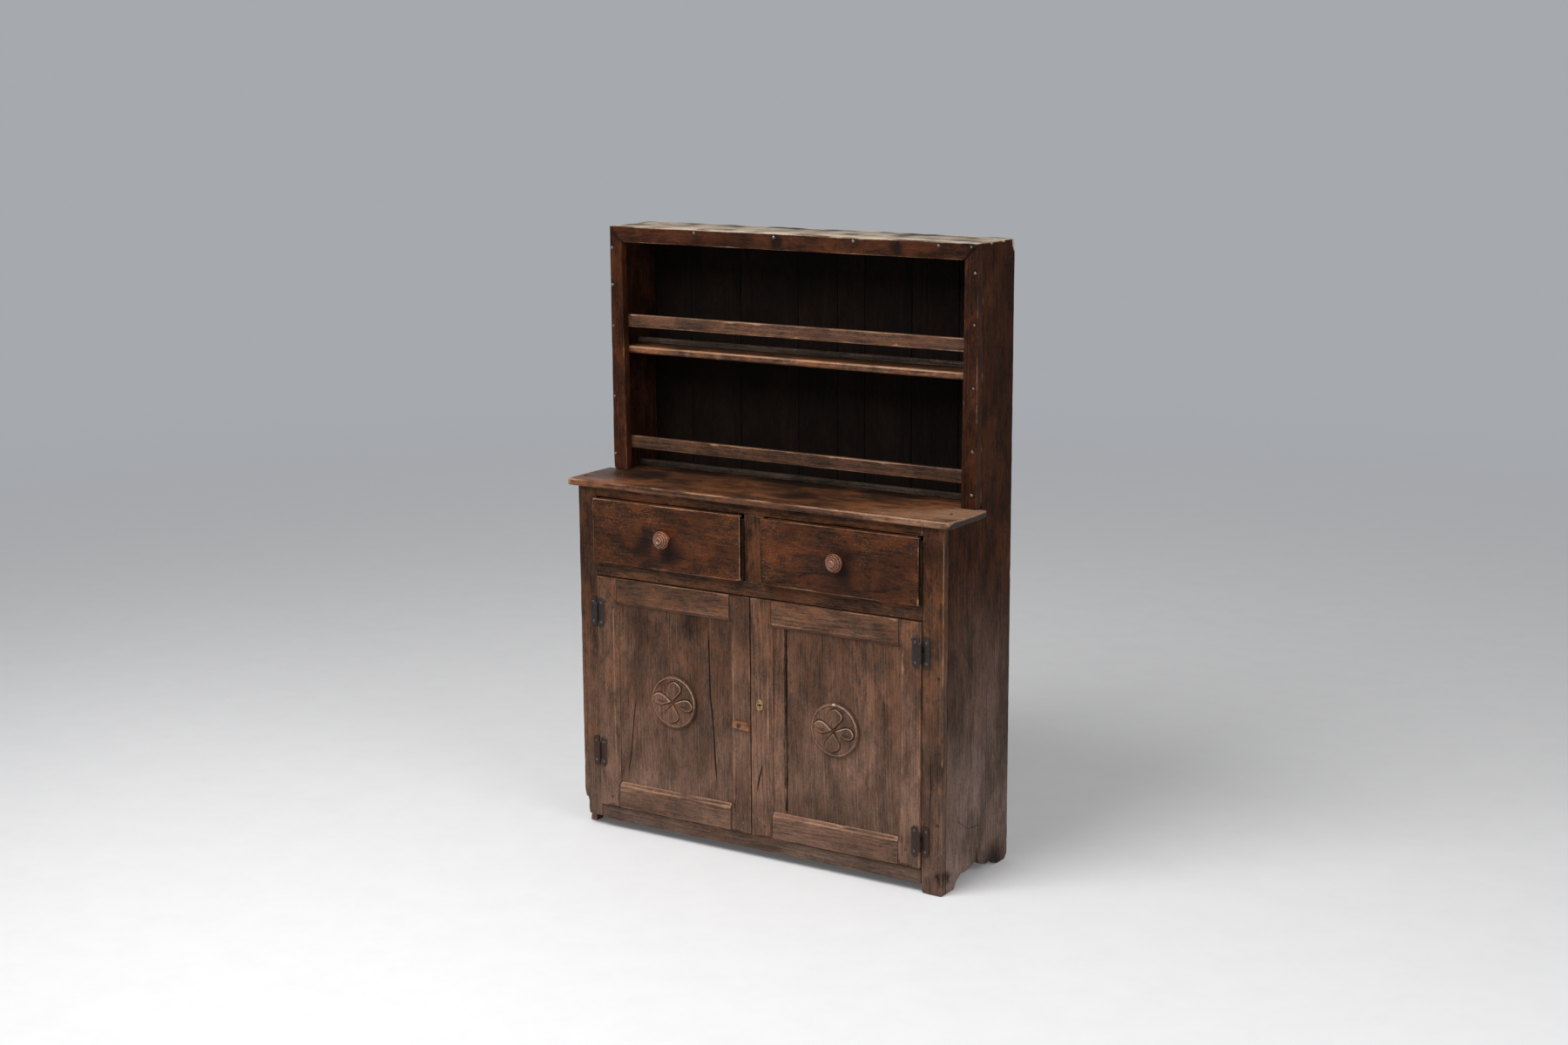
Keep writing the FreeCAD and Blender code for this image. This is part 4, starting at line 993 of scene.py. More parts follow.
class CUPBOARD_OT_side_boards(bpy.types.Operator):
    """Side boards with a scalloped foot"""
    bl_idname = "cupboard.side_boards"
    bl_label = "Side boards"

    def execute(self, context):
        cracks = [
            Crack(RIGHT_SIDE, [(36, 92), (38, 118), (36, 165)], 0.9),
            Crack(RIGHT_SIDE, [(-77, 213), (-60, 160), (-10, 128), (56, 122)], 0.4, 0.15),
            Crack(RIGHT_SIDE, [(-40, 560), (30, 470)], 0.35, 0.1),
            Crack(RIGHT_SIDE, [(120, 760), (121, 640)], 0.5, 0.4),
        ]
        worn_board("side_board_right", "side", "Z", RIGHT_SIDE, chips=3.5, cracks=cracks,
                   spots=[(187, 1479, 11, 0.6), (-112, 30, 22, 1.0), (90, 30, 20, 0.8)],
                   stains=[(60, 1470, 90, 0.6), (120, 20, 60, 0.5), (-112, 42, 18, 1.0),
                           (-60, 830, 110, 0.45), (60, 760, 150, 0.3), (100, 1300, 90, 0.2)],
                   pales=[(183, 1479, 13, 1.7), (184, 1467, 10, 1.6), (186, 1457, 7, 1.6),
                          (130, 1482, 6, 1.2), (70, 1481, 7, 1.2)])
        worn_board("side_board_left", "side", "Z", chips=3.0)
        return {"FINISHED"}


class CUPBOARD_OT_back_boards(bpy.types.Operator):
    """Back boards of uneven width"""
    bl_idname = "cupboard.back_boards"
    bl_label = "Back boards"

    def execute(self, context):
        worn_board("back_boards", "inner", "Z", step=30, chips=0.6, wear=0.7, rub=0.15)
        return {"FINISHED"}


class CUPBOARD_OT_counter(bpy.types.Operator):
    """Counter board with rubbed front edge"""
    bl_idname = "cupboard.counter"
    bl_label = "Counter"

    def execute(self, context):
        nailed = (2, 879.7)
        nails = [(-514, -99), (-442, -43), (6, -126), (486, -60)]
        end, middle = 532, 866
        dark_end = [(end, y, middle, 13, 0.9) for y in range(-145, 35, 9)]
        unrubbed_end = [(end, y, middle, 11, -1.3) for y in range(-145, 35, 8)]
        worn_board("counter_board", "counter", "X", COUNTER_TOP, step=14, chips=5.0, rub=1.3,
                   spots=[(-199, -150, 14, 1.2), (end, -150, 18, 0.8), (-end, -150, 20, 0.8),
                          (end, 26, 16, 0.7)],
                   stains=[*dark_end, (503, -100, 46, 0.9), (-514, -99, 30, 0.6),
                           (-300, 10, 120, 0.7), (0, 20, 160, 0.65), (250, 30, 120, 0.7),
                           (-420, -20, 100, 0.8), (80, -60, 60, 0.6), (-60, -115, 50, 0.5),
                           (180, -90, 60, 0.5), (-230, -90, 60, 0.45),
                           *nail_stains(nailed, nails)],
                   rubs=[(440, -110, 170, 0.8), (520, -30, 90, 0.7), *unrubbed_end,
                         (250, -140, 120, 0.45), (-500, -140, 60, 0.4), (-120, -140, 80, 0.3)])
        nail_heads("counter_nails", "case", nailed, nails)
        return {"FINISHED"}


class CUPBOARD_OT_inner_boards(bpy.types.Operator):
    """Cupboard floor, shelf, cleats and drawer runners"""
    bl_idname = "cupboard.inner_boards"
    bl_label = "Inner boards"

    def execute(self, context):
        worn_board("cupboard_floor", "dusty", "X", step=60, chips=0.5, wear=0.6)
        worn_board("cupboard_shelf", "dusty", "X", step=60, chips=1.0, wear=0.8)
        for node in ("shelf_cleats", "drawer_runner_left", "drawer_runner_middle",
                     "drawer_runner_right"):
            worn_board(node, "dusty", "Y", step=60, chips=1.0, wear=0.6)
        return {"FINISHED"}


class CUPBOARD_OT_face_frame(bpy.types.Operator):
    """Stiles, rails and drawer divider of the lower front"""
    bl_idname = "cupboard.face_frame"
    bl_label = "Face frame"

    def execute(self, context):
        worn_board("base_stile_left", "case", "Z", FRAME_FRONT, chips=4.0,
                   spots=[(-505, 67, 20, 1.2), (-500, 30, 16, 1.0)],
                   stains=[(-485, 550, 70, 0.3), (-480, 200, 60, 0.4)])
        check = Crack(FRAME_FRONT, [(478, 330), (481, 250), (477, 190)], 0.8)
        worn_board("base_stile_right", "case", "Z", FRAME_FRONT, chips=4.0, cracks=[check],
                   spots=[(510, -132, 40, 26, 1.1), (460, 4, 14, 1.0)],
                   stains=[(510, -133, 45, 20, 1.1), (480, 800, 55, 0.75), (465, 560, 60, 0.5),
                           (478, 300, 60, 0.5), (470, 120, 60, 0.4)])
        for node, axis, chips in (("base_top_rail", "X", 1.0), ("middle_rail", "X", 1.5),
                                  ("bottom_rail", "X", 3.0), ("drawer_divider", "Z", 2.0)):
            worn_board(node, "case", axis, chips=chips)
        nail_heads("frame_nails", "case", FRAME_FRONT,
                   [(498, z) for z in (833, 670, 517, 340, 170)], 0.9)
        return {"FINISHED"}


class CUPBOARD_OT_plate_rack(bpy.types.Operator):
    """Frame, shelf and guard rails of the plate rack"""
    bl_idname = "cupboard.plate_rack"
    bl_label = "Plate rack"

    def execute(self, context):
        stile_nails = [(506, 1416), (505, 1300), (504, 1157), (503, 1012), (502, 912),
                       (-508, 1429), (-508, 1339), (-508, 1238), (-508, 1063), (-508, 919)]
        inward = 0.992
        nails = [(x * inward, z) for x, z in stile_nails]
        nails += [(-260, 1475), (-33, 1474), (184, 1474), (408, 1473), (491, 1474)]
        rings = nail_stains(RACK_FRONT, nails)
        worn_board("rack_stile_left", "rack", "Z", RACK_FRONT, chips=3.0, rub=0.8,
                   stains=[(-500, 1440, 40, 0.4), *rings])
        worn_board("rack_stile_right", "rack", "Z", RACK_FRONT, chips=4.0, rub=0.7,
                   stains=[(495, 1390, 30, 0.5), (495, 1100, 60, 0.3), *rings])
        worn_board("rack_top_rail", "rack", "X", RACK_FRONT, chips=3.5,
                   stains=[(-27, 1463, 26, 1.2), (300, 1463, 22, 1.4), (-120, 1463, 30, 0.35),
                           (470, 1463, 40, 0.4), *rings])
        cracks = [
            Crack(CUPBOARD_TOP, [(-330, 160), (-180, 164), (60, 161)], 2.2, 0.6),
            Crack(CUPBOARD_TOP, [(-60, 150), (140, 153), (400, 149)], 1.6, 0.6),
            Crack(CUPBOARD_TOP, [(-400, 120), (-220, 118)], 1.0, 0.6),
        ]
        dark_line = [(x, 176, 13, 1.2) for x in (*range(-430, 60, 9), *range(150, 330, 9))]
        worn_board("rack_top_board", "rail", "X", CUPBOARD_TOP, step=24, chips=1.0, rub=0.5,
                   cracks=cracks,
                   stains=[(-360, 150, 22, 0.7), (430, 60, 60, 0.25), (-480, 60, 60, 0.4),
                           (250, 140, 26, 0.3), *dark_line])
        worn_board("rack_shelf", "counter", "X", step=18, chips=2.0, rub=1.2,
                   rubs=[(x, 16, 1179, 46, 0.5) for x in range(-460, 461, 46)])
        worn_board("guard_rail_upper", "rail", "X", GUARD_FRONT, chips=4.0, rub=1.3,
                   spots=[(290, 1243, 10, 1.2), (-180, 1266, 16, 0.8)])
        worn_board("guard_rail_lower", "rail", "X", GUARD_FRONT, chips=3.0, rub=1.3,
                   stains=[(x, 948, 90, 0.22) for x in range(-450, 451, 90)])
        for level in ("upper", "lower"):
            worn_board("plate_batten_" + level, "dusty", "X", step=20, chips=2.0, rub=0.4)
        nail_heads("rack_nails", "case", RACK_FRONT, nails, 0.85, "rubbed_iron")
        return {"FINISHED"}


class CUPBOARD_OT_drawers(bpy.types.Operator):
    """Drawer fronts and boxes"""
    bl_idname = "cupboard.drawers"
    bl_label = "Drawers"

    def execute(self, context):
        stains = {
            "left": [(-340, 760, 120, 0.35), (-301, 738, 34, 0.6), (-217, 727, 46, 0.8),
                     (-101, 716, 34, 0.6), (-196, 801, 30, 0.35), (-440, 760, 30, 0.4)],
            "right": [(250, 715, 90, 0.5), (110, 800, 60, 0.35), (380, 700, 60, 0.45),
                      (90, 745, 20, 0.5), (430, 815, 20, 0.5)],
        }
        corner = {"left": (-26, 681, 16, 0.9), "right": (34, 682, 16, 0.9)}
        lip = DOOR_FRONT[1]
        for side in SIDES:
            name = "drawer_" + side
            low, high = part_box(name + "_front")
            # Painted shade on the end faces of the proud drawer fronts.
            ends = [(x / MM, lip, z, 15, 1.0) for x in (low.x, high.x) for z in range(690, 840, 10)]
            worn_board(name + "_front", "drawer", "X", DRAWER_FRONT, step=14, chips=2.5, rub=1.2,
                       stains=stains[side] + ends, spots=[corner[side]])
            # Painted shade on the box sides at the front's ends, in the gap round the drawer.
            shade_behind = [(x, lip + 3, z, 18, 1.6) for x, _, z, _, _ in ends]
            for part, axis in (("side_left", "Y"), ("side_right", "Y"), ("back", "X"),
                               ("bottom", "X")):
                worn_board(f"{name}_{part}", "box", axis, step=36, chips=1.0, wear=0.5, rub=0.4,
                           stains=shade_behind)
        nail_heads("drawer_left_nails", "drawer_left", DRAWER_FRONT,
                   [(-437, 815), (-437, 706), (-44, 815), (-44, 706)], 0.7)
        nail_heads("drawer_right_nails", "drawer_right", DRAWER_FRONT,
                   [(98, 806), (97, 748), (92, 730), (436, 812), (436, 800), (60, 822)], 0.9)
        return {"FINISHED"}


# Half profile of a knob, as shares of its radius and of its length from the drawer
KNOB_SHARES = (
    (0.60, 0.00), (0.59, 0.05), (0.56, 0.20), (0.60, 0.30), (0.76, 0.36), (0.93, 0.42),
    (1.00, 0.50), (0.985, 0.58), (0.92, 0.63), (0.865, 0.61), (0.835, 0.60), (0.81, 0.65),
    (0.79, 0.715), (0.73, 0.745), (0.67, 0.725), (0.645, 0.70), (0.62, 0.74), (0.60, 0.81),
    (0.55, 0.84), (0.50, 0.82), (0.475, 0.79), (0.45, 0.83),
)
KNOB_CROWN_SHARES = {
    "right": ((0.41, 0.91), (0.31, 0.97), (0.16, 1.00), (0.00, 1.00)),
    "left": ((0.41, 0.92), (0.34, 0.95), (0.25, 0.93), (0.17, 0.86), (0.09, 0.82), (0.00, 0.82)),
}
KNOB_GROOVE_SHARES = (0.85, 0.655, 0.475)
KNOB_SINK = 0.5 * MM


def open_edges(bm):
    return [edge for edge in bm.edges if edge.is_boundary]


def ring_of(out, radius, width):
    """One on a ring of a turned or carved disc, falling to nothing beside it."""
    return np.clip(1 - np.abs(out - radius) / width, 0, 1)


class CUPBOARD_OT_knobs(bpy.types.Operator):
    """Turned knobs with rings"""
    bl_idname = "cupboard.knobs"
    bl_label = "Knobs"

    def execute(self, context):
        for side in ("left", "right"):
            node = f"drawer_{side}_knob"
            low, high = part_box(node)
            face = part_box(f"drawer_{side}_front")[0].y
            radius = (high.x - low.x) / 2
            reach = face - low.y
            centre = ((low.x + high.x) / 2, face, (low.z + high.z) / 2)
            outline = KNOB_SHARES + KNOB_CROWN_SHARES[side]
            bm = bmesh.new()
            verts = [bm.verts.new((radius * across, 0, reach * along - KNOB_SINK))
                     for across, along in outline]
            edges = [bm.edges.new(pair) for pair in zip(verts, verts[1:])]
            bmesh.ops.spin(bm, geom=verts + edges, cent=(0, 0, 0), axis=(0, 0, 1),
                           angle=2 * math.pi, steps=64, use_merge=True)
            bmesh.ops.remove_doubles(bm, verts=bm.verts, dist=WELD)
            bmesh.ops.holes_fill(bm, edges=open_edges(bm), sides=0)
            bmesh.ops.recalc_face_normals(bm, faces=bm.faces)
            local = coordinates(bm)
            out = np.hypot(local[:, 0], local[:, 1]) / radius
            grooves = sum(np.clip(1.3 - np.abs(out - ring) / 0.045, 0, 1)
                          for ring in KNOB_GROOVE_SHARES)
            # Painted shadow on the neck under the knob's bulge.
            grooves[local[:, 2] < reach * 0.45] = 0.35
            if side == "left":
                grooves += np.clip(1 - out / 0.22, 0, 1) * 1.6
            bmesh.ops.transform(bm, matrix=facing_matrix(centre, FORWARD), verts=bm.verts)
            points = coordinates(bm)
            labels = islands(bm)
            piece = stand_in(node, "_turned", bm, [oak_material("knob")], smooth=75)
            # The crests are rubbed, and their wear colour also stands in for the rings' highlights:
            # partly painted highlight.
            crests = ring_of(out, 0.74, 0.05) + ring_of(out, 0.55, 0.05)
            crests += ring_of(out, 0.96, 0.04) * (local[:, 2] > reach * 0.5)
            paint(piece, points, labels, "Y", crests, grooves * 0.8, np.zeros(len(points)))
        return {"FINISHED"}


class CUPBOARD_OT_doors(bpy.types.Operator):
    """Door frames and panels"""
    bl_idname = "cupboard.doors"
    bl_label = "Doors"

    def execute(self, context):
        self.panels()
        for side, sign in SIDES.items():
            name = "door_" + side
            worn_board(name + "_hinge_stile", "front", "Z", DOOR_FRONT, chips=3.0,
                       stains=[(sign * 440, z, 40, 0.5) for z in HINGE_HEIGHTS[side]])
            worn_board(name + "_top_rail", "front", "X", chips=2.5)
            worn_board(name + "_bottom_rail", "front", "X", chips=2.5)
        worn_board("door_left_meeting_stile", "front", "Z", chips=3.0)
        crack = Crack(DOOR_FRONT, [(26, 237), (17, 205), (10, 169)], 1.3)
        worn_board("door_right_meeting_stile", "front", "Z", DOOR_FRONT, chips=3.0,
                   cracks=[crack],
                   stains=[(25, 480, 50, 0.35), (30, 200, 60, 0.35), (25, 360, 150, 0.3)])
        for side, joints in (("left", (-426, -37)), ("right", (426, 24))):
            pegs = [(x + turn * 7, z - turn * 8) for z in (609, 93) for x in joints
                    for turn in (-1, 1)]
            wooden_pegs(f"door_{side}_pegs", "door_" + side, DOOR_FRONT, pegs, "front")
        return {"FINISHED"}

    def panels(self):
        """Panels with drying cracks, and the right one's open seam."""
        face = (1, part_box("door_left_panel")[0].y / MM)
        cracks = [
            Crack(face, [(-133, 571), (-131, 480), (-129, 386), (-120, 300), (-116, 220),
                         (-110, 140)], 1.5),
            Crack(face, [(-349, 352), (-357, 290), (-366, 210), (-377, 142)], 1.0, 0.8),
        ]
        worn_board("door_left_panel", "front", "Z", face, chips=0, cracks=cracks,
                   stains=[(-250, 600, 150, 0.3), (-160, 560, 70, 0.5), (-360, 540, 80, 0.4),
                           (-250, 490, 130, 0.28), (-330, 300, 60, 0.25),
                           (-150, 330, 50, 0.3)])
        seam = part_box("door_right_panel")[0].x / MM + 43
        along_seam = [(seam, z, 4 + z * 7 % 5, 1.3) for z in range(130, 610, 6)]
        worn_board("door_right_panel", "front", "Z", face, chips=0.5,
                   stains=[*along_seam, (170, 560, 110, 0.3), (90, 300, 60, 0.3),
                           (330, 160, 110, 0.35), (200, 130, 60, 0.3), (380, 420, 60, 0.2)])


# The carving of a rosette: shares of its radius, and heights and widths in metres
ROSETTE_TILT = math.radians(-6)
RIM_START, RIM_WIDTH, RIM_DROP = 0.92, 0.08, 4 * MM
GROUND_END, GROUND_STEP, GROUND_DROP = 0.88, 0.035, 1.8 * MM
HUB_REACH, HUB_DEPTH = 0.07, 1.2 * MM
PETAL_START = 0.05
# Where the petals end: right, up, left, down
PETAL_ENDS = {"left": (0.90, 0.82, 0.94, 0.82), "right": (0.85, 0.82, 0.87, 0.82)}
# Half the width of a petal, and how round its end is
SIDEWAYS_PETAL = (0.24, 0.65)
UPRIGHT_PETAL = (0.31, 0.75)
PETAL_SWELL = 1.6
PETAL_EDGE = 2.4 * MM
GROOVE_WIDTH = 1.3 * MM
RIDGE_PLACE, RIDGE_WIDTH, RIDGE_RISE = 2.2 * MM, 1.1 * MM, 0.9 * MM
HOLLOW_PLACE, HOLLOW_SIZE, HOLLOW_DEPTH = (0.52, 0.09), (0.22, 0.075), 1.6 * MM
FAR_AWAY = 9 * MM


class CUPBOARD_OT_rosettes(bpy.types.Operator):
    """Carved rosettes with four petals"""
    bl_idname = "cupboard.rosettes"
    bl_label = "Rosettes"
    cells: IntProperty(name="Cells", description="Cells across a rosette", default=200, min=20)

    def execute(self, context):
        for side in ("left", "right"):
            self.carve(side, context.scene.cupboard_sizes)
        return {"FINISHED"}

    def carve(self, side, sizes):
        node = f"door_{side}_rosette"
        low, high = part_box(node)
        radius = (high.x - low.x) / 2
        thick = high.y - low.y
        centre = Vector(((low.x + high.x) / 2, high.y, (low.z + high.z) / 2))
        bm = bmesh.new()
        bmesh.ops.create_grid(bm, x_segments=self.cells, y_segments=self.cells, size=1)
        for vert in bm.verts:
            x, y = vert.co.x, vert.co.y
            vert.co.x = radius * x * math.sqrt(1 - y * y / 2)
            vert.co.y = radius * y * math.sqrt(1 - x * x / 2)
        flat = coordinates(bm)
        height, stain, wear, bright = self.relief(flat[:, 0], flat[:, 1], radius, thick, side,
                                                  sizes)
        height -= 0.25 * MM * (0.5 + 0.5 * wander(flat, 60, seed_of(node)))
        for vert, level in zip(bm.verts, height):
            vert.co.z = level
        made = bmesh.ops.extrude_edge_only(bm, edges=open_edges(bm))["geom"]
        for item in made:
            if isinstance(item, bmesh.types.BMVert):
                item.co.z = 0
        bmesh.ops.holes_fill(bm, edges=open_edges(bm), sides=0)
        bmesh.ops.recalc_face_normals(bm, faces=bm.faces)
        # Painted shade on the disc's edge wall and back.
        extra = len(bm.verts) - len(stain)
        stain = np.append(stain, np.full(extra, 0.5))
        wear = np.append(wear, np.zeros(extra))
        bright = np.append(bright, np.zeros(extra))
        bmesh.ops.transform(bm, matrix=facing_matrix(centre, FORWARD), verts=bm.verts)
        points = coordinates(bm)
        labels = islands(bm)
        piece = stand_in(node, "_carved", bm, [oak_material("front")], smooth=70)
        # Painted highlight near the top of the right rosette's rim, and a darker patch on the left
        # one.
        if side == "right":
            bright += near_spots(points, [(centre.x / MM - 1, -139, high.z / MM - 3, 5, 0.7)])
        else:
            stain += near_spots(points, [(centre.x / MM - 34, -139, centre.z / MM + 38, 26, 0.5)])
        paint(piece, points, labels, "Z", wear, stain, bright)

    def relief(self, x, y, radius, thick, side, sizes):
        """Height, darkening, wear and painted highlights of the carving over the disc; the
        highlights take the bare wood colour.
        """
        out = np.hypot(x, y) / radius
        bevel = np.clip((out - RIM_START) / RIM_WIDTH, 0, 1)
        sunk = 1 - np.clip((out - GROUND_END) / GROUND_STEP, 0, 1)
        height = thick - RIM_DROP * bevel ** 1.5 - GROUND_DROP * sunk
        stain = 0.15 * sunk + 0.4 * ring_of(out, 0.885, 0.025)
        stain += 0.5 * bevel ** 3
        wear = ring_of(out, 0.93, 0.035)
        # Painted highlight along the upper right of the rim.
        bright = ring_of(out, 0.95, 0.035)
        bright *= np.clip((x + y) / (radius * 0.9) - 0.35, 0, 1)
        for index, petal_end in enumerate(PETAL_ENDS[side]):
            heading = ROSETTE_TILT + index * math.pi / 2
            along = (x * math.cos(heading) + y * math.sin(heading)) / radius
            across = (-x * math.sin(heading) + y * math.cos(heading)) / radius
            sideways = index in (0, 2)
            inside, dome, gap = self.petal(along, across, radius, petal_end,
                                           *(SIDEWAYS_PETAL if sideways else UPRIGHT_PETAL))
            groove = np.exp(-(gap / GROOVE_WIDTH) ** 2)
            ridge = np.exp(-((gap - RIDGE_PLACE) / RIDGE_WIDTH) ** 2) * inside
            height = height + np.where(inside, sizes.petal_rise * dome, 0)
            height = height - sizes.petal_cut * groove + RIDGE_RISE * ridge
            stain = np.where(inside, 0.1, stain) + 0.55 * groove
            wear = np.maximum(wear, ridge)
            # Painted highlight on the petal outlines that face up.
            lit = {0: np.where(across > 0, 1, 0.7), 1: (across < 0) & (along > 0.5),
                   2: np.where(across < 0, 1, 0.7)}
            bright = np.maximum(bright, ridge * lit.get(index, 0))
            if sideways:
                down = across * (-1 if index == 0 else 1)
                lens = np.hypot((along - HOLLOW_PLACE[0]) / HOLLOW_SIZE[0],
                                (down - HOLLOW_PLACE[1]) / HOLLOW_SIZE[1])
                hollow = np.clip(1 - lens ** 2, 0, 1) * inside
                height = height - HOLLOW_DEPTH * np.sqrt(hollow)
                # Painted shade in the petal's hollow.
                stain = stain + 0.5 * hollow
        hub = np.clip(1 - out / HUB_REACH, 0, 1)
        height = height - HUB_DEPTH * hub
        return height, np.clip(stain + 0.7 * hub, 0, 1), wear, 0.6 * bright

    def petal(self, along, across, radius, petal_end, broad, round_end):
        """Where a petal is, how high it rises, and how far each point is from its outline."""
        whole = petal_end - PETAL_START
        run = np.clip((along - PETAL_START) / whole, 0, 1)
        swing = math.pi * run ** PETAL_SWELL
        bulge = np.clip(np.sin(swing), 0.02, 1)
        half = broad * bulge ** round_end
        slope = round_end * half / bulge * np.cos(swing) * PETAL_SWELL * math.pi * run ** 0.6
        squareness = 1 / np.sqrt(1 + (slope / whole) ** 2)
        on_petal = (run > 0) & (run < 1)
        beside = np.abs(across) / np.maximum(half, 1e-4)
        rise = np.clip((1 - beside) * half * radius * squareness / PETAL_EDGE, 0, 1)
        end = np.clip((1 - run) * whole * radius / PETAL_EDGE, 0, 1)
        dome = (0.55 + 0.45 * (1 - beside ** 2)) * np.sqrt(rise * end)
        gap = np.abs((np.abs(across) - half) * radius * squareness)
        gap = np.where(on_petal, gap, FAR_AWAY)
        tip = np.hypot(along - petal_end, across) * radius
        gap = np.minimum(gap, np.where(along >= petal_end, tip, FAR_AWAY))
        return on_petal & (beside < 1), dome, gap


class CUPBOARD_OT_hinges(bpy.types.Operator):
    """Iron hinges and their screws"""
    bl_idname = "cupboard.hinges"
    bl_label = "Hinges"

    def execute(self, context):
        edge = context.scene.cupboard_sizes.iron_edge
        for node in ("frame_hinge_leaves", "door_left_hinge_leaves", "door_right_hinge_leaves",
                     "hinge_pins"):
            bevelled_copy(node, edge)
        frame_screws = []
        for side, sign in SIDES.items():
            heights = HINGE_HEIGHTS[side]
            frame_screws += [(sign * 469, z + rise) for z in heights for rise in (24, -25)]
            door_screws = [(sign * 442, z + rise) for z in heights for rise in (25, -24)]
            slotted_screws(f"door_{side}_hinge_screws", "door_" + side, (1, -143.6), door_screws)
        slotted_screws("frame_hinge_screws", "case", (1, -137.6), frame_screws)
        return {"FINISHED"}


class CUPBOARD_OT_lock(bpy.types.Operator):
    """Keyhole plate, lock case and bolt"""
    bl_idname = "cupboard.lock"
    bl_label = "Lock"

    def execute(self, context):
        edge = context.scene.cupboard_sizes.iron_edge
        bevelled_copy("escutcheon", edge * 0.6, ("dull_brass", "dull_brass"))
        low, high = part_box("escutcheon")
        inset = 1.2 * MM
        bm = bmesh.new()
        radius = (high.z - low.z) / 2 - inset
        ring = bmesh.ops.create_circle(bm, segments=10, radius=1.6 * MM)["verts"]
        upright = Matrix.Rotation(math.pi / 2, 3, "X")
        bmesh.ops.rotate(bm, verts=ring, cent=(0, 0, 0), matrix=upright)
        bmesh.ops.translate(bm, verts=ring, vec=(radius, 0, 0))
        bmesh.ops.spin(bm, geom=bm.verts[:] + bm.edges[:], cent=(0, 0, 0), axis=(0, 0, 1),
                       angle=2 * math.pi, steps=48, use_merge=True)
        squeeze = ((high.x - low.x) / 2 - inset) / radius
        for vert in bm.verts:
            vert.co.y *= squeeze
            vert.co.z *= 0.8
        bmesh.ops.remove_doubles(bm, verts=bm.verts, dist=WELD)
        bmesh.ops.recalc_face_normals(bm, faces=bm.faces)
        stand = Matrix.Rotation(math.pi / 2, 4, "X") @ Matrix.Rotation(math.pi / 2, 4, "Z")
        centre = Vector(((low.x + high.x) / 2, low.y, (low.z + high.z) / 2))
        bmesh.ops.transform(bm, matrix=Matrix.Translation(centre) @ stand, verts=bm.verts)
        new_piece("escutcheon_rim", bm, [metal_material("dull_brass")], "door_right",
                  smooth=80)
        bevelled_copy("lock_case", edge)
        bevelled_copy("lock_bolt", edge)
        return {"FINISHED"}


class CUPBOARD_OT_turn_button(bpy.types.Operator):
    """Wooden turn button and its screw"""
    bl_idname = "cupboard.turn_button"
    bl_label = "Turn button"

    def execute(self, context):
        worn_board("turn_button", "button", "X", step=5, chips=14, wear=0.6, rub=0.5,
                   stains=[(-35.5, -150, 328, 9, 0.9)])
        bevelled_copy("button_screw", context.scene.cupboard_sizes.iron_edge)
        return {"FINISHED"}


def seen_by_camera(wires):
    """One for what the camera sees, also by reflection or through glass."""
    path = wires.put("ShaderNodeLightPath").outputs
    shown = wires.count("MAXIMUM", path["Is Camera Ray"], path["Is Transmission Ray"])
    return wires.count("MAXIMUM", shown, path["Is Glossy Ray"])


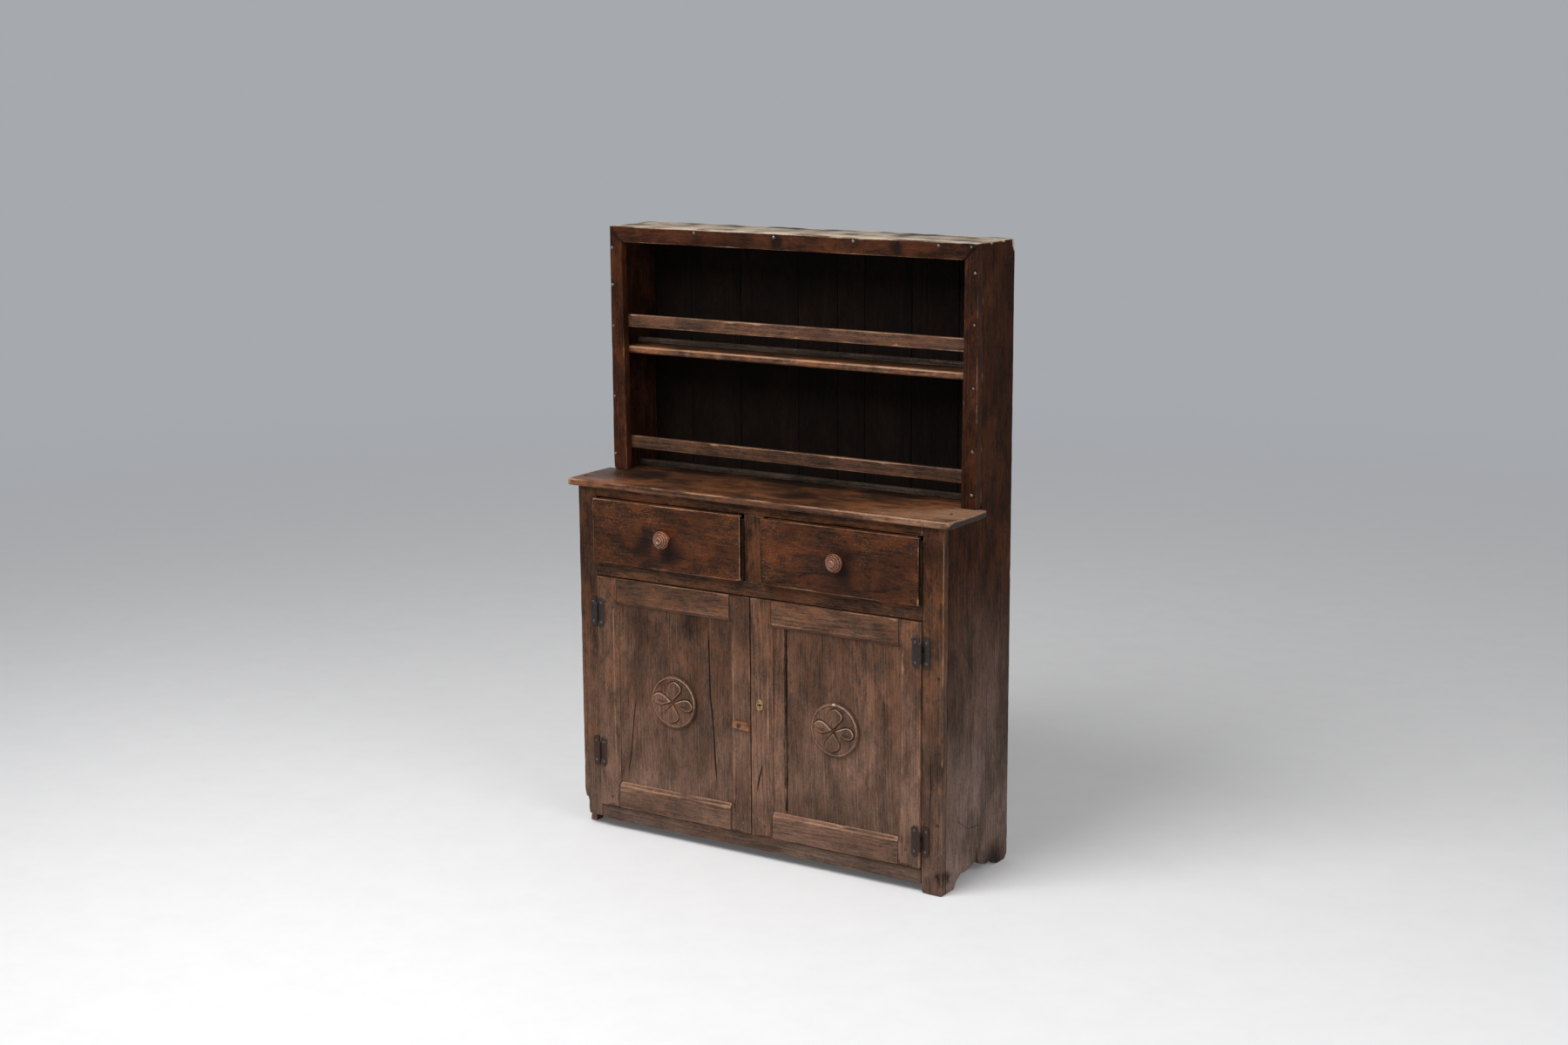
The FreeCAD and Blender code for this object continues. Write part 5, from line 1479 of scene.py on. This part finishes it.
class CUPBOARD_OT_stage(bpy.types.Operator):
    """Camera, pale floor, backdrop and soft light"""
    bl_idname = "cupboard.stage"
    bl_label = "Stage"

    def execute(self, context):
        stage = context.scene.cupboard_stage
        self.camera(stage)
        self.floor(stage)
        self.lights(stage)
        self.sky(stage)
        context.scene.view_settings.view_transform = "Standard"
        return {"FINISHED"}

    def camera(self, stage):
        data = bpy.data.cameras.new("camera")
        data.lens = stage.lens
        data.sensor_width = 36
        camera = scene_object("camera", data)
        turn = Matrix.Rotation(stage.turn, 4, "Z")
        tilt = Matrix.Rotation(math.pi / 2 - stage.tilt, 4, "X")
        roll = Matrix.Rotation(stage.roll, 4, "Z")
        camera.matrix_world = Matrix.Translation(stage.place) @ turn @ tilt @ roll
        bpy.context.scene.camera = camera

    def floor(self, stage):
        bm = bmesh.new()
        bmesh.ops.create_grid(bm, x_segments=1, y_segments=1, size=stage.floor_size / 2)
        mesh = bpy.data.meshes.new("floor")
        bm.to_mesh(mesh)
        bm.free()
        floor = scene_object("floor", mesh)
        material, wires, shader = wired_material("pale_floor")
        finish = material.node_tree.nodes["Material Output"]
        place = wires.put("ShaderNodeTexCoord").outputs["Object"]
        scuffs = wires.cloud(place, 9, 9, detail=5.0, rough=0.7)
        shader.inputs["Roughness"].default_value = 0.6
        shader.inputs["Specular IOR Level"].default_value = 0.2
        wires.feed(shader.inputs["Base Color"], wires.blend(
            wires.span(scuffs, 0.3, 0.7), darker(stage.floor, 0.97), stage.floor))
        distance = wires.put("ShaderNodeVectorMath", {0: place}, operation="LENGTH")
        far = wires.span(distance.outputs["Value"], stage.floor_fade * 0.2, stage.floor_fade)
        glow = wires.put("ShaderNodeEmission", {"Color": stage.backdrop, "Strength": 1.0})
        strength = wires.times(seen_by_camera(wires), stage.floor_glow)
        paler = wires.put("ShaderNodeEmission", {"Color": stage.floor, "Strength": strength})
        near = wires.put("ShaderNodeAddShader", {0: shader.outputs[0], 1: paler.outputs[0]})
        mix = wires.put("ShaderNodeMixShader", {0: far, 1: near.outputs[0], 2: glow.outputs[0]})
        wires.feed(finish.inputs["Surface"], mix.outputs[0])
        mesh.materials.append(material)

    def lights(self, stage):
        lamps = {
            "key_light": ((-0.5, -2.0, 3.3), (0, 0, 0.75), 2.0, stage.key_power),
            "fill_light": ((3.5, -1.2, 2.0), (0.4, 0, 0.7), 2.4, stage.fill_power),
        }
        for name, (place, target, size, watts) in lamps.items():
            data = bpy.data.lights.new(name, "AREA")
            data.shape = "SQUARE"
            data.size = size
            data.energy = watts
            lamp = scene_object(name, data)
            lamp.location = place
            direction = Vector(target) - Vector(place)
            lamp.rotation_euler = direction.to_track_quat("-Z", "Y").to_euler()

    def sky(self, stage):
        world = bpy.data.worlds.new("studio")
        world.use_nodes = True
        bpy.context.scene.world = world
        tree = world.node_tree
        tree.nodes.clear()
        wires = Wiring(tree)
        light = wires.put("ShaderNodeBackground", {"Color": (1.0, 1.0, 1.0), "Strength": stage.sky})
        seen = wires.put("ShaderNodeBackground", {"Color": stage.backdrop, "Strength": 1.0})
        mix = wires.put("ShaderNodeMixShader", {0: seen_by_camera(wires), 1: light.outputs[0],
                                                2: seen.outputs[0]})
        wires.put("ShaderNodeOutputWorld", {"Surface": mix.outputs[0]})


OPERATORS = (
    CUPBOARD_OT_side_boards,
    CUPBOARD_OT_back_boards,
    CUPBOARD_OT_counter,
    CUPBOARD_OT_inner_boards,
    CUPBOARD_OT_face_frame,
    CUPBOARD_OT_plate_rack,
    CUPBOARD_OT_drawers,
    CUPBOARD_OT_knobs,
    CUPBOARD_OT_doors,
    CUPBOARD_OT_rosettes,
    CUPBOARD_OT_hinges,
    CUPBOARD_OT_lock,
    CUPBOARD_OT_turn_button,
    CUPBOARD_OT_stage,
)


class CUPBOARD_PT_panel(bpy.types.Panel):
    """Settings and steps of the cupboard"""
    bl_label = "Oak cupboard"
    bl_space_type = "VIEW_3D"
    bl_region_type = "UI"
    bl_category = "Cupboard"

    def draw(self, context):
        for operator in OPERATORS:
            self.layout.operator(operator.bl_idname)
        for name, group in SETTINGS.items():
            box = self.layout.box()
            box.label(text=group.__doc__)
            for field in group.__annotations__:
                box.prop(getattr(context.scene, name), field)


def register():
    for name, group in SETTINGS.items():
        bpy.utils.register_class(group)
        setattr(bpy.types.Scene, name, PointerProperty(type=group))
    for kind in (*OPERATORS, CUPBOARD_PT_panel):
        bpy.utils.register_class(kind)


def unregister():
    for kind in reversed((*OPERATORS, CUPBOARD_PT_panel)):
        bpy.utils.unregister_class(kind)
    for name, group in reversed(SETTINGS.items()):
        delattr(bpy.types.Scene, name)
        bpy.utils.unregister_class(group)


def main():
    register()
    for operator in OPERATORS:
        family, step = operator.bl_idname.split(".")
        getattr(getattr(bpy.ops, family), step)()


if __name__ == "__main__":
    main()
